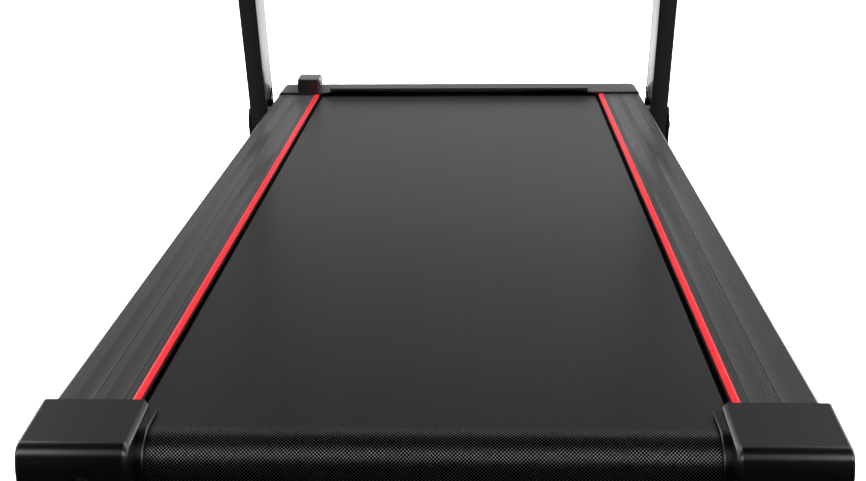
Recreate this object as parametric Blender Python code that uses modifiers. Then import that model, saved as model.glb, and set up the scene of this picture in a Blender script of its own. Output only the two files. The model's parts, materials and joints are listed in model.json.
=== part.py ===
"""Slim folding treadmill: a flat deck with a hinged mast that folds down over it.

Units are metres, +Z is up, and the origin is on the floor under the middle of the deck.
+Y points to the motor end, and the mast leans back over the running belt.
Left is -X, the left hand of somebody running towards +Y.
"""

import math

import bmesh
import bpy
from mathutils import Matrix, Vector

SIDES = ((-1, "left"), (1, "right"))
FIT_GAP = 0.0003
ROUND_STEPS = 32
SMALL_STEPS = 20

# Running surface
BELT_TOP = 0.120
BELT_HALF_WIDTH = 0.210
BELT_THICKNESS = 0.0018
ROLLER_RADIUS = 0.0225
ROLLER_HALF_LENGTH = 0.2115
AXLE_REACH = 0.262
BELT_INNER_RADIUS = ROLLER_RADIUS + 0.0004
BELT_OUTER_RADIUS = BELT_INNER_RADIUS + BELT_THICKNESS
ROLLER_Z = BELT_TOP - BELT_OUTER_RADIUS
REAR_ROLLER_Y = -0.664
FRONT_ROLLER_Y = 0.530
DECK_TOP = BELT_TOP - BELT_THICKNESS - FIT_GAP
DECK_THICKNESS = 0.015
DECK_HALF_WIDTH = 0.250
DECK_Y = (-0.615, 0.480)

# Deck ends
REAR_Y = -0.707
FRONT_Y = 0.707
HOOD_Y = 0.500
CAP_FRONT_Y = -0.638

# Welded frame
TUBE_X = (0.225, 0.265)
TUBE_Y = (-0.686, 0.684)
TUBE_Z = (0.0446, 0.0946)
TUBE_WALL = 0.002
CROSS_HEIGHT = 0.020
MOTOR_CROSS_HEIGHT = 0.0095
CROSS_MEMBERS = (
    (-0.560, 0.040, CROSS_HEIGHT),
    (-0.100, 0.040, CROSS_HEIGHT),
    (0.340, 0.040, CROSS_HEIGHT),
    (0.575, 0.016, MOTOR_CROSS_HEIGHT),
    (0.672, 0.016, CROSS_HEIGHT),
)
FOOT_X = 0.245
REAR_FOOT_Y = -0.600
FRONT_PAD_Y = 0.395
WHEEL_Y = 0.665
WHEEL_Z = 0.022
WHEEL_RADIUS = 0.020
WHEEL_X = (0.2365, 0.2535)
TENSION_X = 0.240
TENSION_TRAVEL = 0.008

# Side rails
RAIL_X = (0.2165, 0.2805)
RAIL_TOP = BELT_TOP + 0.003
RAIL_UNDERSIDE = 0.1185
RAIL_SKIRT_Z = 0.072
RAIL_WALL = 0.003
RAIL_REAR_Y = -0.650
STRIPE_X = (0.2175, 0.2225)
CHANNELS_X = ((0.2290, 0.2420), (0.2526, 0.2647))
CHANNEL_DEPTH = 0.001

# Rear end caps
CAP_X = (0.2065, 0.2845)
CAP_WALL = 0.003
CAP_BOTTOM = 0.040
CAP_TOP_REAR = BELT_TOP + 0.005
CAP_TOP_FRONT = BELT_TOP + 0.010
CAP_EDGE_RADIUS = 0.0115
FLANGE_INNER_X = 0.200
FLANGE_RADIUS = 0.0285
POCKET_RADIUS = 0.0259
POCKET_X = 0.2133

# Front hood
HOOD_WALL = 0.003
HOOD_BOTTOM = 0.026
HOOD_TOP = BELT_TOP + 0.0125
HOOD_RIDGE_X = 0.270
HOOD_RIDGE_Y = 0.536
HOOD_NOSE_Y = FRONT_Y - 0.015
HOOD_SHOULDER_Z = BELT_TOP + 0.0028
MOUTH_TOP = BELT_TOP + 0.0090
MOUTH_HALF_WIDTH = 0.2135
MOUTH_ARCH_X = 0.191
EAR_X = 0.200
EAR_Z = BELT_TOP + 0.0064
EAR_DEPTH = 0.022
HOOD_CORNER = 0.028
HOOD_SLOPE = math.radians(15)

# Drive
PULLEY_X = (-0.2235, -0.2125)
DRIVE_BELT_X = (-0.2225, -0.2135)
ROLLER_PULLEY_RADIUS = 0.027
MOTOR_PULLEY_RADIUS = 0.0115
PULLEY_CLEARANCE = 0.0004
DRIVE_BELT_THICKNESS = 0.0016
MOTOR_Y = 0.622
MOTOR_Z = 0.064
MOTOR_RADIUS = 0.035
MOTOR_X = (-0.195, -0.035)

# Mast
LEAN = math.radians(16)
PIVOT_Y = 0.4755
PIVOT_Z = 0.0800
PIVOT_BOLT_RADIUS = 0.006
BOLT_CLEARANCE = 0.0004
UPRIGHT_X = (0.289, 0.314)
UPRIGHT_DEPTH = 0.070
UPRIGHT_LENGTH = 0.930
UPRIGHT_WALL = 0.0018
BRACKET_INNER_X = (0.2825, 0.2855)
BRACKET_OUTER_X = (0.3165, 0.3195)
BRACKET_Y = (0.440, 0.4985)
BRACKET_Z = (0.040, 0.0443)
HANDLE_RADIUS = 0.0125
HANDLE_RISE = 0.030
HANDLE_BEND = 0.060
HANDLE_SLOPE = math.radians(45)
HANDLE_LENGTH = 0.175
GRIP_LENGTH = 0.150
GRIP_RADII = (0.0130, 0.0155)
LEVER_HUB = (0.047, 0.0145)
LEVER_X = (0.2858, 0.2886)
LEVER_HUB_X = 0.2822
LEVER_LENGTH = 0.033
LEVER_RISE = math.radians(28)
CROSSBAR_RADIUS = 0.016
CROSSBAR_AT = (0.884, -0.008)

# Console
CONSOLE_HALF_WIDTH = 0.215
CONSOLE_FACE_LOW = (0.900, 0.022)
CONSOLE_FACE_HIGH = (0.985, -0.098)
CONSOLE_WALL = 0.003
BUTTON_RADIUS = 0.009
BUTTON_ROW = 0.034
KEY_ROW = 0.030
BUTTONS = (
    ("start_button", -0.160, "button_green"),
    ("speed_down_button", -0.085, "button_grey"),
    ("speed_up_button", 0.085, "button_grey"),
    ("stop_button", 0.160, "button_red"),
)

# Corner pod
POD_X = (-0.2460, -0.2180)
POD_Y = (HOOD_Y, HOOD_Y + 0.045)
POD_TOP = BELT_TOP + 0.026
POD_BUTTON_AT = (0.5235, 0.1395)
POD_BUTTON_RADIUS = 0.0045
POD_SEAT = 0.0006

# Mains inlet and switch
INLET_X = (0.150, 0.180)
INLET_Z = (0.042, 0.066)
SWITCH_X = (0.203, 0.217)
SWITCH_PIVOT = (FRONT_Y - 0.013, 0.054)
SWITCH_TILT = math.radians(8)
SWITCH_HOLE_HALF = 0.0136


# ---------------------------------------------------------------- scene and materials

def clear_scene():
    for obj in list(bpy.data.objects):
        bpy.data.objects.remove(obj, do_unlink=True)


def new_collection(name):
    collection = bpy.data.collections.new(name)
    bpy.context.scene.collection.children.link(collection)
    return collection


def make_material(name, colour, roughness, metallic=0.0):
    material = bpy.data.materials.new(name)
    material.use_nodes = True
    shader = material.node_tree.nodes["Principled BSDF"]
    shader.inputs["Base Color"].default_value = (*colour, 1.0)
    shader.inputs["Roughness"].default_value = roughness
    shader.inputs["Metallic"].default_value = metallic
    return material


clear_scene()
PARTS = new_collection("folding_treadmill")
CUTTERS = new_collection("cutters")
MATERIALS = {
    "frame_paint": make_material("frame_paint", (0.02, 0.02, 0.02), 0.45, 0.3),
    "upright_paint": make_material("upright_paint", (0.03, 0.03, 0.03), 0.30, 0.5),
    "rail_aluminium": make_material("rail_aluminium", (0.06, 0.06, 0.06), 0.30, 0.8),
    "stripe_red": make_material("stripe_red", (0.85, 0.04, 0.05), 0.35),
    "belt_rubber": make_material("belt_rubber", (0.015, 0.015, 0.015), 0.55),
    "deck_wood": make_material("deck_wood", (0.05, 0.03, 0.02), 0.50),
    "cap_plastic": make_material("cap_plastic", (0.03, 0.03, 0.03), 0.40),
    "hood_plastic": make_material("hood_plastic", (0.08, 0.08, 0.08), 0.45),
    "pan_plastic": make_material("pan_plastic", (0.03, 0.03, 0.03), 0.70),
    "roller_steel": make_material("roller_steel", (0.55, 0.55, 0.55), 0.30, 1.0),
    "bolt_steel": make_material("bolt_steel", (0.40, 0.40, 0.40), 0.30, 1.0),
    "pulley_aluminium": make_material("pulley_aluminium", (0.60, 0.60, 0.60), 0.35, 1.0),
    "motor_paint": make_material("motor_paint", (0.05, 0.05, 0.05), 0.40, 0.5),
    "drive_rubber": make_material("drive_rubber", (0.01, 0.01, 0.01), 0.60),
    "foot_rubber": make_material("foot_rubber", (0.02, 0.02, 0.02), 0.80),
    "grip_foam": make_material("grip_foam", (0.02, 0.02, 0.02), 0.90),
    "console_plastic": make_material("console_plastic", (0.04, 0.04, 0.04), 0.40),
    "lens_glass": make_material("lens_glass", (0.01, 0.01, 0.01), 0.05),
    "button_green": make_material("button_green", (0.05, 0.40, 0.10), 0.40),
    "button_red": make_material("button_red", (0.60, 0.03, 0.03), 0.40),
    "button_grey": make_material("button_grey", (0.35, 0.35, 0.35), 0.40),
    "pod_plastic": make_material("pod_plastic", (0.06, 0.06, 0.06), 0.45),
    "pod_button_grey": make_material("pod_button_grey", (0.45, 0.45, 0.45), 0.35),
    "electrics_plastic": make_material("electrics_plastic", (0.02, 0.02, 0.02), 0.50),
    "heat_sink_aluminium": make_material("heat_sink_aluminium", (0.60, 0.60, 0.60), 0.40, 1.0),
}


# ---------------------------------------------------------------- shape tools

def finish(obj, material):
    """Puts the material on the piece and shades its round faces smooth."""
    obj.data.materials.clear()
    obj.data.materials.append(MATERIALS[material])
    obj.data.shade_smooth()
    obj.data.set_sharp_from_angle(angle=math.radians(35))
    return obj


def adopt(obj, collection):
    for old in list(obj.users_collection):
        old.objects.unlink(obj)
    collection.objects.link(obj)
    return obj


def as_cutter(obj):
    adopt(obj, CUTTERS)
    obj.hide_render = True
    obj.display_type = "WIRE"
    return obj


def combine(obj, other, operation):
    """Adds a Boolean with another piece, which becomes a cutter."""
    modifier = obj.modifiers.new(operation.lower(), "BOOLEAN")
    modifier.operation = operation
    modifier.solver = "EXACT"
    modifier.object = as_cutter(other)
    return obj


def cut(obj, *others):
    for other in others:
        combine(obj, other, "DIFFERENCE")
    return obj


def join(obj, *others):
    for other in others:
        combine(obj, other, "UNION")
    return obj


def soften(obj, width, segments=1):
    """Bevels the piece's sharp edges."""
    modifier = obj.modifiers.new("edge", "BEVEL")
    modifier.width = width
    modifier.segments = segments
    modifier.limit_method = "ANGLE"
    modifier.angle_limit = math.radians(40)
    return obj


def mesh_object(name, mesh):
    return adopt_new(bpy.data.objects.new(name, mesh))


def adopt_new(obj):
    PARTS.objects.link(obj)
    return obj


def box(name, low, high, frame=None):
    """An upright box between two corners, or the same in another frame."""
    low, high = Vector(low), Vector(high)
    mesh = bpy.data.meshes.new(name)
    shape = bmesh.new()
    bmesh.ops.create_cube(shape, size=1.0)
    bmesh.ops.scale(shape, vec=high - low, verts=shape.verts)
    bmesh.ops.translate(shape, vec=(low + high) / 2, verts=shape.verts)
    shape.to_mesh(mesh)
    shape.free()
    obj = mesh_object(name, mesh)
    if frame:
        obj.matrix_world = frame
    return obj


def side_box(name, side, x_range, y_range, z_range):
    """A box given by its distances from the middle plane, on one side of it."""
    x_low, x_high = sorted(side * x for x in x_range)
    return box(name, (x_low, y_range[0], z_range[0]), (x_high, y_range[1], z_range[1]))


def turned_frame(centre, axis):
    """A frame at centre whose Z is the axis."""
    turn = Vector(axis).to_track_quat("Z", "Y").to_matrix().to_4x4()
    return Matrix.Translation(centre) @ turn


def turned(name, profile, centre, axis, steps=ROUND_STEPS):
    """A solid of revolution. The profile is (radius, height) pairs, running down its outer side."""
    mesh = bpy.data.meshes.new(name)
    points = [(radius, 0.0, height) for radius, height in profile]
    edges = [(i, i + 1) for i in range(len(points) - 1)]
    if profile[0][0] > 0:
        edges.append((len(points) - 1, 0))
    mesh.from_pydata(points, edges, [])
    obj = mesh_object(name, mesh)
    obj.matrix_world = turned_frame(centre, axis)
    screw = obj.modifiers.new("turn", "SCREW")
    screw.steps = steps
    screw.render_steps = steps
    screw.use_merge_vertices = True
    screw.merge_threshold = 0.00001
    return obj


def cylinder(name, start, end, radius, steps=ROUND_STEPS):
    start, end = Vector(start), Vector(end)
    length = (end - start).length
    profile = ((0.0, length), (radius, length), (radius, 0.0), (0.0, 0.0))
    return turned(name, profile, start, end - start, steps)


def side_cylinder(name, side, x_range, y, z, radius, steps=SMALL_STEPS):
    """A cylinder across the machine, given by its distances from the middle plane."""
    x_low, x_high = sorted(side * x for x in x_range)
    return cylinder(name, (x_low, y, z), (x_high, y, z), radius, steps)


def prism(name, outlines, frame, low, high):
    """Flat outlines filled in the frame's XY plane and extruded from low to high along its Z."""
    curve = bpy.data.curves.new(name, "CURVE")
    curve.dimensions = "2D"
    curve.fill_mode = "BOTH"
    curve.extrude = (high - low) / 2
    for outline in outlines:
        spline = curve.splines.new("POLY")
        spline.points.add(len(outline) - 1)
        for point, (a, b) in zip(spline.points, outline):
            point.co = (a, b, 0.0, 1.0)
        spline.use_cyclic_u = True
    guide = adopt_new(bpy.data.objects.new(name + "_outline", curve))
    graph = bpy.context.evaluated_depsgraph_get()
    mesh = bpy.data.meshes.new_from_object(guide.evaluated_get(graph))
    bpy.data.objects.remove(guide, do_unlink=True)
    shape = bmesh.new()
    shape.from_mesh(mesh)
    bmesh.ops.remove_doubles(shape, verts=shape.verts, dist=0.000001)
    bmesh.ops.recalc_face_normals(shape, faces=shape.faces)
    shape.to_mesh(mesh)
    shape.free()
    obj = mesh_object(name, mesh)
    obj.matrix_world = frame @ Matrix.Translation((0.0, 0.0, (low + high) / 2))
    return obj


def yz_frame():
    """Local X is the machine's Y, local Y its Z, and local Z its X."""
    return Matrix(((0, 0, 1, 0), (1, 0, 0, 0), (0, 1, 0, 0), (0, 0, 0, 1)))


def yz_prism(name, outlines, x_range):
    low, high = sorted(x_range)
    return prism(name, outlines, yz_frame(), low, high)


def xz_prism(name, outlines, y_range):
    """Local Z is the machine's -Y, so the extrusion runs the other way."""
    frame = Matrix(((1, 0, 0, 0), (0, 0, -1, 0), (0, 1, 0, 0), (0, 0, 0, 1)))
    return prism(name, outlines, frame, -y_range[1], -y_range[0])


def xy_prism(name, outlines, z_range):
    return prism(name, outlines, Matrix.Identity(4), *z_range)


def arc(centre, radius, start, end, steps):
    """Points on an arc, with its angles in radians."""
    angles = [start + (end - start) * i / steps for i in range(steps + 1)]
    return [(centre[0] + radius * math.cos(a), centre[1] + radius * math.sin(a)) for a in angles]


def loop_outline(first, first_radius, second, second_radius, steps):
    """The outline of a belt running tight round two circles."""
    delta = Vector(second) - Vector(first)
    heading = math.atan2(delta.y, delta.x)
    spread = math.acos((first_radius - second_radius) / delta.length)
    far_side = arc(first, first_radius, heading + spread, heading - spread + 2 * math.pi, steps)
    near_side = arc(second, second_radius, heading - spread, heading + spread, steps)
    return far_side + near_side


# ---------------------------------------------------------------- welded frame and feet

def base_frame():
    """Two long box tubes, five cross members, rear plates for the tensioners and wheel tabs."""
    frame = side_box("base_frame", 1, TUBE_X, TUBE_Y, TUBE_Z)
    join(frame, side_box("tube", -1, TUBE_X, TUBE_Y, TUBE_Z))
    for y, width, height in CROSS_MEMBERS:
        reach = TUBE_X[0] + 0.001
        low = (-reach, y - width / 2, TUBE_Z[0])
        join(frame, box("cross_member", low, (reach, y + width / 2, TUBE_Z[0] + height)))
    for side, _ in SIDES:
        plate_y = (TUBE_Y[0] - 0.004, TUBE_Y[0] + 0.0005)
        join(frame, side_box("rear_plate", side, TUBE_X, plate_y, (TUBE_Z[0], 0.108)))
        for tab_x in ((0.2315, 0.2345), (0.2555, 0.2585)):
            join(frame, side_box("wheel_tab", side, tab_x, (0.650, 0.680), (0.012, TUBE_Z[0] + 0.001)))
    for y, width, height in CROSS_MEMBERS:
        reach = TUBE_X[0] + TUBE_WALL + 0.001
        low = (-reach, y - width / 2 + TUBE_WALL, TUBE_Z[0] + TUBE_WALL)
        high = (reach, y + width / 2 - TUBE_WALL, TUBE_Z[0] + height - TUBE_WALL)
        cut(frame, box("cross_bore", low, high))
    for side, _ in SIDES:
        cut_side_tube(frame, side)
    return finish(frame, "frame_paint")


def cut_side_tube(frame, side):
    """Hollows a side tube and cuts its slots and holes."""
    bore_x = (TUBE_X[0] + TUBE_WALL, TUBE_X[1] - TUBE_WALL)
    bore_y = (TUBE_Y[0] + TUBE_WALL, TUBE_Y[1] + 0.01)
    cut(frame, side_box("tube_bore", side, bore_x, bore_y, (TUBE_Z[0] + TUBE_WALL, TUBE_Z[1] - TUBE_WALL)))
    slot_x = (TUBE_X[0] - 0.005, TUBE_X[1] + 0.005)
    mitre_y, mitre_z = 0.640, 0.0967
    front_z = mitre_z - (FRONT_Y - mitre_y) * math.tan(HOOD_SLOPE)
    mitre = [(mitre_y, mitre_z), (FRONT_Y, front_z), (FRONT_Y, 0.110), (mitre_y, 0.110)]
    cut(frame, yz_prism("front_mitre", [mitre], [side * x for x in slot_x]))
    rear_slot = (REAR_ROLLER_Y - 0.0078, REAR_ROLLER_Y + 0.0078 + TENSION_TRAVEL)
    cut(frame, side_box("rear_slot", side, slot_x, rear_slot, (0.0872, 0.100)))
    front_slot = (FRONT_ROLLER_Y - 0.0065, FRONT_ROLLER_Y + 0.0065)
    cut(frame, side_box("front_slot", side, slot_x, front_slot, (0.0888, 0.100)))
    x = side * TENSION_X
    bolt_slot_x = (TENSION_X - 0.0048, TENSION_X + 0.0048)
    bolt_slot_y = (TUBE_Y[0] + 0.001, REAR_ROLLER_Y + 0.030)
    cut(frame, side_box("bolt_slot", side, bolt_slot_x, bolt_slot_y, (0.0900, 0.100)))
    start = (x, TUBE_Y[0] - 0.008, ROLLER_Z)
    cut(frame, cylinder("bolt_hole", start, (x, TUBE_Y[0] + 0.008, ROLLER_Z), 0.0044, SMALL_STEPS))
    foot = (side * FOOT_X, REAR_FOOT_Y)
    low, high = (*foot, TUBE_Z[0] - 0.002), (*foot, TUBE_Z[0] + 0.004)
    cut(frame, cylinder("foot_hole", low, high, 0.0054, SMALL_STEPS))
    cut(frame, side_cylinder("wheel_hole", side, (0.2300, 0.2600), WHEEL_Y, WHEEL_Z, 0.0044))


def rear_foot(side, word):
    """A rubber foot on a threaded stud that levels the deck."""
    stud = ((0.0, 0.060), (0.005, 0.060), (0.005, 0.016))
    profile = stud + ((0.014, 0.014), (0.020, 0.006), (0.020, 0.0), (0.0, 0.0))
    foot = turned("rear_foot_" + word, profile, (side * FOOT_X, REAR_FOOT_Y, 0.0), (0, 0, 1), SMALL_STEPS)
    return finish(foot, "foot_rubber")


def front_pad(side, word):
    height = TUBE_Z[0] - FIT_GAP
    profile = ((0.0, height), (0.016, height), (0.016, 0.012), (0.020, 0.006), (0.020, 0.0), (0.0, 0.0))
    pad = turned("front_pad_" + word, profile, (side * FOOT_X, FRONT_PAD_Y, 0.0), (0, 0, 1), SMALL_STEPS)
    return finish(pad, "foot_rubber")


def transport_wheel(side, word):
    """A small wheel that takes the weight when the machine is tipped on its front end."""
    half = (WHEEL_X[1] - WHEEL_X[0]) / 2
    bore, rim = 0.0045, WHEEL_RADIUS
    tread = ((rim - 0.002, half), (rim, half - 0.003), (rim, 0.003 - half), (rim - 0.002, -half))
    profile = tread + ((bore, -half), (bore, half))
    centre = (side * (WHEEL_X[0] + half), WHEEL_Y, WHEEL_Z)
    return finish(turned("transport_wheel_" + word, profile, centre, (1, 0, 0)), "foot_rubber")


def wheel_axle(side, word):
    """A headed pin through the two wheel tabs."""
    profile = ((0.0, 0.0343), (0.0065, 0.0343), (0.0065, 0.0303), (0.004, 0.0303), (0.004, 0.0), (0.0, 0.0))
    start = (side * 0.2290, WHEEL_Y, WHEEL_Z)
    return finish(turned("wheel_axle_" + word, profile, start, (side, 0, 0), SMALL_STEPS), "bolt_steel")


# ---------------------------------------------------------------- deck, rails and covers

def deck_board():
    low = (-DECK_HALF_WIDTH, DECK_Y[0], DECK_TOP - DECK_THICKNESS)
    board = soften(box("deck_board", low, (DECK_HALF_WIDTH, DECK_Y[1], DECK_TOP)), 0.002)
    return finish(board, "deck_wood")


def deck_cushion(side, word, end, y):
    """A rubber puck between the frame and the deck board."""
    low = TUBE_Z[1] + FIT_GAP
    high = DECK_TOP - DECK_THICKNESS - FIT_GAP
    middle = (high - low) / 2
    profile = ((0.0, high - low), (0.011, high - low), (0.0125, middle), (0.011, 0.0), (0.0, 0.0))
    name = "deck_cushion_" + end + "_" + word
    return finish(turned(name, profile, (side * TENSION_X, y, low), (0, 0, 1), SMALL_STEPS), "foot_rubber")


def channel_points(x_range):
    """The shallow hollow of a footrest channel, from its inner edge to its outer edge."""
    steps = 4
    width = x_range[1] - x_range[0]
    shares = [i / steps for i in range(steps + 1)]
    return [(x_range[0] + width * t, RAIL_TOP - CHANNEL_DEPTH * math.sin(math.pi * t)) for t in shares]


def rail_outline():
    """Cross-section of a side rail: stripe groove, two footrest channels and an outer skirt."""
    groove = (STRIPE_X[0] - FIT_GAP, STRIPE_X[1] + FIT_GAP)
    groove_z = RAIL_TOP - 0.0016
    outline = [(RAIL_X[0], RAIL_UNDERSIDE), (RAIL_X[0], RAIL_TOP)]
    outline += [(groove[0], RAIL_TOP), (groove[0], groove_z), (groove[1], groove_z), (groove[1], RAIL_TOP)]
    for channel in CHANNELS_X:
        outline += channel_points(channel)
    outline += arc((RAIL_X[1] - RAIL_WALL, RAIL_TOP - RAIL_WALL), RAIL_WALL, math.pi / 2, 0.0, 4)
    outline += [(RAIL_X[1], RAIL_SKIRT_Z), (RAIL_X[1] - RAIL_WALL, RAIL_SKIRT_Z)]
    outline += [(RAIL_X[1] - RAIL_WALL, RAIL_UNDERSIDE)]
    return outline


def mirrored(outline, side):
    return [(side * x, z) for x, z in outline]


def rail(side, word):
    y_range = (RAIL_REAR_Y, HOOD_Y - 0.0005)
    obj = xz_prism("rail_" + word, [mirrored(rail_outline(), side)], y_range)
    return finish(obj, "rail_aluminium")


def stripe(side, word):
    """The coloured strip let into the rail beside the belt."""
    y_range = (RAIL_REAR_Y + 0.0005, HOOD_Y - 0.0008)
    z_range = (RAIL_TOP - 0.0016 + FIT_GAP, RAIL_TOP + 0.0002)
    return finish(side_box("stripe_" + word, side, STRIPE_X, y_range, z_range), "stripe_red")


def cap_outline(inset, front_y):
    """Side view of an end cap, drawn in by inset all round except at the front."""
    rear, radius = REAR_Y + inset, CAP_EDGE_RADIUS - inset
    top_rear, top_front, bottom = CAP_TOP_REAR - inset, CAP_TOP_FRONT - inset, CAP_BOTTOM + inset
    corner = arc((rear + radius, top_rear - radius), radius, math.pi, math.pi / 2, 5)
    return [(rear, bottom)] + corner + [(front_y, top_front), (front_y, bottom)]


def round_nose(radius, front_y):
    """A side view that is round behind the rear roller and runs straight forward above and below it."""
    return arc((REAR_ROLLER_Y, ROLLER_Z), radius, math.pi / 2, 3 * math.pi / 2, 14) + [
        (front_y, ROLLER_Z - radius),
        (front_y, ROLLER_Z + radius),
    ]


def end_cap(side, word):
    """A hollow moulding over the rail's end, with a lip that follows the belt round the rear roller."""
    cap = yz_prism("end_cap_" + word, [cap_outline(0.0, CAP_FRONT_Y)], [side * x for x in CAP_X])
    soften(cap, 0.0015)
    lip_x = [side * FLANGE_INNER_X, side * (CAP_X[0] + 0.001)]
    join(cap, yz_prism("cap_lip", [round_nose(FLANGE_RADIUS, CAP_FRONT_Y - 0.0005)], lip_x))
    cavity_x = [side * (CAP_X[0] + CAP_WALL), side * (CAP_X[1] - CAP_WALL)]
    cut(cap, yz_prism("cap_cavity", [cap_outline(CAP_WALL, CAP_FRONT_Y + 0.010)], cavity_x))
    pocket_x = [side * (FLANGE_INNER_X - 0.010), side * POCKET_X]
    cut(cap, yz_prism("roller_pocket", [round_nose(POCKET_RADIUS, CAP_FRONT_Y + 0.010)], pocket_x))
    start, end = (side * TENSION_X, REAR_Y - 0.002, ROLLER_Z), (side * TENSION_X, REAR_Y + 0.005, ROLLER_Z)
    cut(cap, cylinder("bolt_access", start, end, 0.0082, SMALL_STEPS))
    return finish(cap, "cap_plastic")


def hood_solid(name, inset):
    """The hood's outer form, or its inside when drawn in: side, plan and front views intersected."""
    top, bottom = HOOD_TOP - inset, HOOD_BOTTOM - 3 * inset
    rear, front = HOOD_Y + inset, FRONT_Y - inset
    nose_z = top - (HOOD_NOSE_Y - HOOD_RIDGE_Y) * math.tan(HOOD_SLOPE)
    side_view = [(rear, bottom), (rear, top), (HOOD_RIDGE_Y, top), (HOOD_NOSE_Y, nose_z)]
    side_view += [(front - 0.004, nose_z - 0.006), (front, nose_z - 0.014)]
    side_view += [(front, 0.040), (front - 0.010, bottom)]
    half = RAIL_X[1] - inset
    hood = yz_prism(name, [side_view], (-half, half))
    radius = HOOD_CORNER - inset
    corner = arc((half - radius, front - radius), radius, 0.0, math.pi / 2, 5)
    right_plan = [(half, rear - 0.010)] + corner
    plan = right_plan + [(-x, y) for x, y in reversed(right_plan)]
    combine(hood, xy_prism("plan", [plan], (bottom - 0.01, top + 0.01)), "INTERSECT")
    ridge = (HOOD_RIDGE_X - inset / 2, top + 0.0005)
    shoulder = [(half, bottom - 0.01), (half, HOOD_SHOULDER_Z - inset), ridge]
    view = shoulder + [(-x, z) for x, z in reversed(shoulder)]
    combine(hood, xz_prism("front_view", [view], (rear - 0.01, front + 0.01)), "INTERSECT")
    for side, _ in SIDES:
        cut(hood, ear_wedge(side, inset))
    return hood


def ear_wedge(side, inset):
    """What the hood's rear edge loses beside the mouth, where it dips to meet the rail."""
    start, low = HOOD_Y - 0.002, EAR_Z - inset
    rise = (HOOD_TOP - EAR_Z) / EAR_DEPTH
    reach = EAR_DEPTH + 0.010
    wedge = [(start, low - 0.002 * rise), (HOOD_Y + reach, low + reach * rise), (start, low + reach * rise)]
    return yz_prism("ear_wedge", [wedge], (side * (EAR_X - inset), side * (RAIL_X[1] + 0.010)))


def front_cover():
    """The hood over the motor, open below, with a mouth where the belt goes in."""
    hood = cut(hood_solid("front_cover", 0.0), hood_solid("hood_inside", HOOD_WALL))
    mouth_y = (HOOD_Y - 0.010, HOOD_Y + HOOD_WALL + 0.0002)
    half_mouth = [(MOUTH_HALF_WIDTH, 0.0), (MOUTH_HALF_WIDTH, HOOD_SHOULDER_Z), (MOUTH_ARCH_X, MOUTH_TOP)]
    mouth = half_mouth + [(-x, z) for x, z in reversed(half_mouth)]
    cut(hood, xz_prism("belt_mouth", [mouth], mouth_y))
    cut(hood, box("frame_mouth", (-0.2675, mouth_y[0], 0.0), (0.2675, mouth_y[1], 0.1155)))
    inlet_low = (INLET_X[0] - 0.0005, FRONT_Y - 0.008, INLET_Z[0] - 0.0005)
    cut(hood, box("inlet_hole", inlet_low, (INLET_X[1] + 0.0005, FRONT_Y + 0.004, INLET_Z[1] + 0.0005)))
    switch_low = (SWITCH_X[0] - 0.0006, FRONT_Y - 0.008, SWITCH_PIVOT[1] - SWITCH_HOLE_HALF)
    switch_high = (SWITCH_X[1] + 0.0006, FRONT_Y + 0.004, SWITCH_PIVOT[1] + SWITCH_HOLE_HALF)
    cut(hood, box("switch_hole", switch_low, switch_high))
    return finish(hood, "hood_plastic")


def bottom_pan():
    pan = box("bottom_pan", (-0.225, 0.505, 0.0215), (0.225, 0.684, 0.0235))
    return finish(pan, "pan_plastic")


# ---------------------------------------------------------------- belt, rollers and drive

def running_belt():
    ends = ((REAR_ROLLER_Y, ROLLER_Z), (FRONT_ROLLER_Y, ROLLER_Z))
    outer = loop_outline(ends[0], BELT_OUTER_RADIUS, ends[1], BELT_OUTER_RADIUS, 16)
    inner = loop_outline(ends[0], BELT_INNER_RADIUS, ends[1], BELT_INNER_RADIUS, 16)
    belt = yz_prism("running_belt", [outer, inner], (-BELT_HALF_WIDTH, BELT_HALF_WIDTH))
    return finish(belt, "belt_rubber")


def roller(name, y, bore):
    """A steel shell with a hub at each end that turns on its axle."""
    half, hub, shell = ROLLER_HALF_LENGTH, 0.018, ROLLER_RADIUS - 0.002
    outer = [(ROLLER_RADIUS, half), (ROLLER_RADIUS, -half)]
    cavity = [(bore, hub - half), (shell, hub - half), (shell, half - hub), (bore, half - hub)]
    inner = [(bore, -half)] + cavity + [(bore, half)]
    return finish(turned(name, outer + inner, (0.0, y, ROLLER_Z), (1, 0, 0)), "roller_steel")


def front_roller_axle():
    start, end = (-AXLE_REACH, FRONT_ROLLER_Y, ROLLER_Z), (AXLE_REACH, FRONT_ROLLER_Y, ROLLER_Z)
    axle = cylinder("front_roller_axle", start, end, 0.006, SMALL_STEPS)
    return finish(axle, "bolt_steel")


def rear_roller_axle():
    """The sliding axle, cross-drilled for the two tension bolts."""
    ends = (-AXLE_REACH, REAR_ROLLER_Y, ROLLER_Z), (AXLE_REACH, REAR_ROLLER_Y, ROLLER_Z)
    axle = cylinder("rear_roller_axle", *ends, 0.0075, SMALL_STEPS)
    for side, _ in SIDES:
        start = (side * TENSION_X, REAR_ROLLER_Y - 0.012, ROLLER_Z)
        end = (side * TENSION_X, REAR_ROLLER_Y + 0.012, ROLLER_Z)
        cut(axle, cylinder("bolt_bore", start, end, 0.0044, SMALL_STEPS))
    return finish(axle, "bolt_steel")


def tension_bolt(side, word):
    """A hex-socket bolt that draws the rear axle back to tighten the belt."""
    length, head = 0.058, 0.008
    socket = [(0.0, length - 0.004), (0.0032, length - 0.004), (0.0032, length)]
    rim = [(0.006, length), (0.0065, length - 0.0008), (0.0065, length - head)]
    profile = socket + rim + [(0.004, length - head), (0.004, 0.0), (0.0, 0.0)]
    start = (side * TENSION_X, TUBE_Y[0] - 0.0045 + length - head, ROLLER_Z)
    return finish(turned("tension_bolt_" + word, profile, start, (0, -1, 0), SMALL_STEPS), "bolt_steel")


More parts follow.
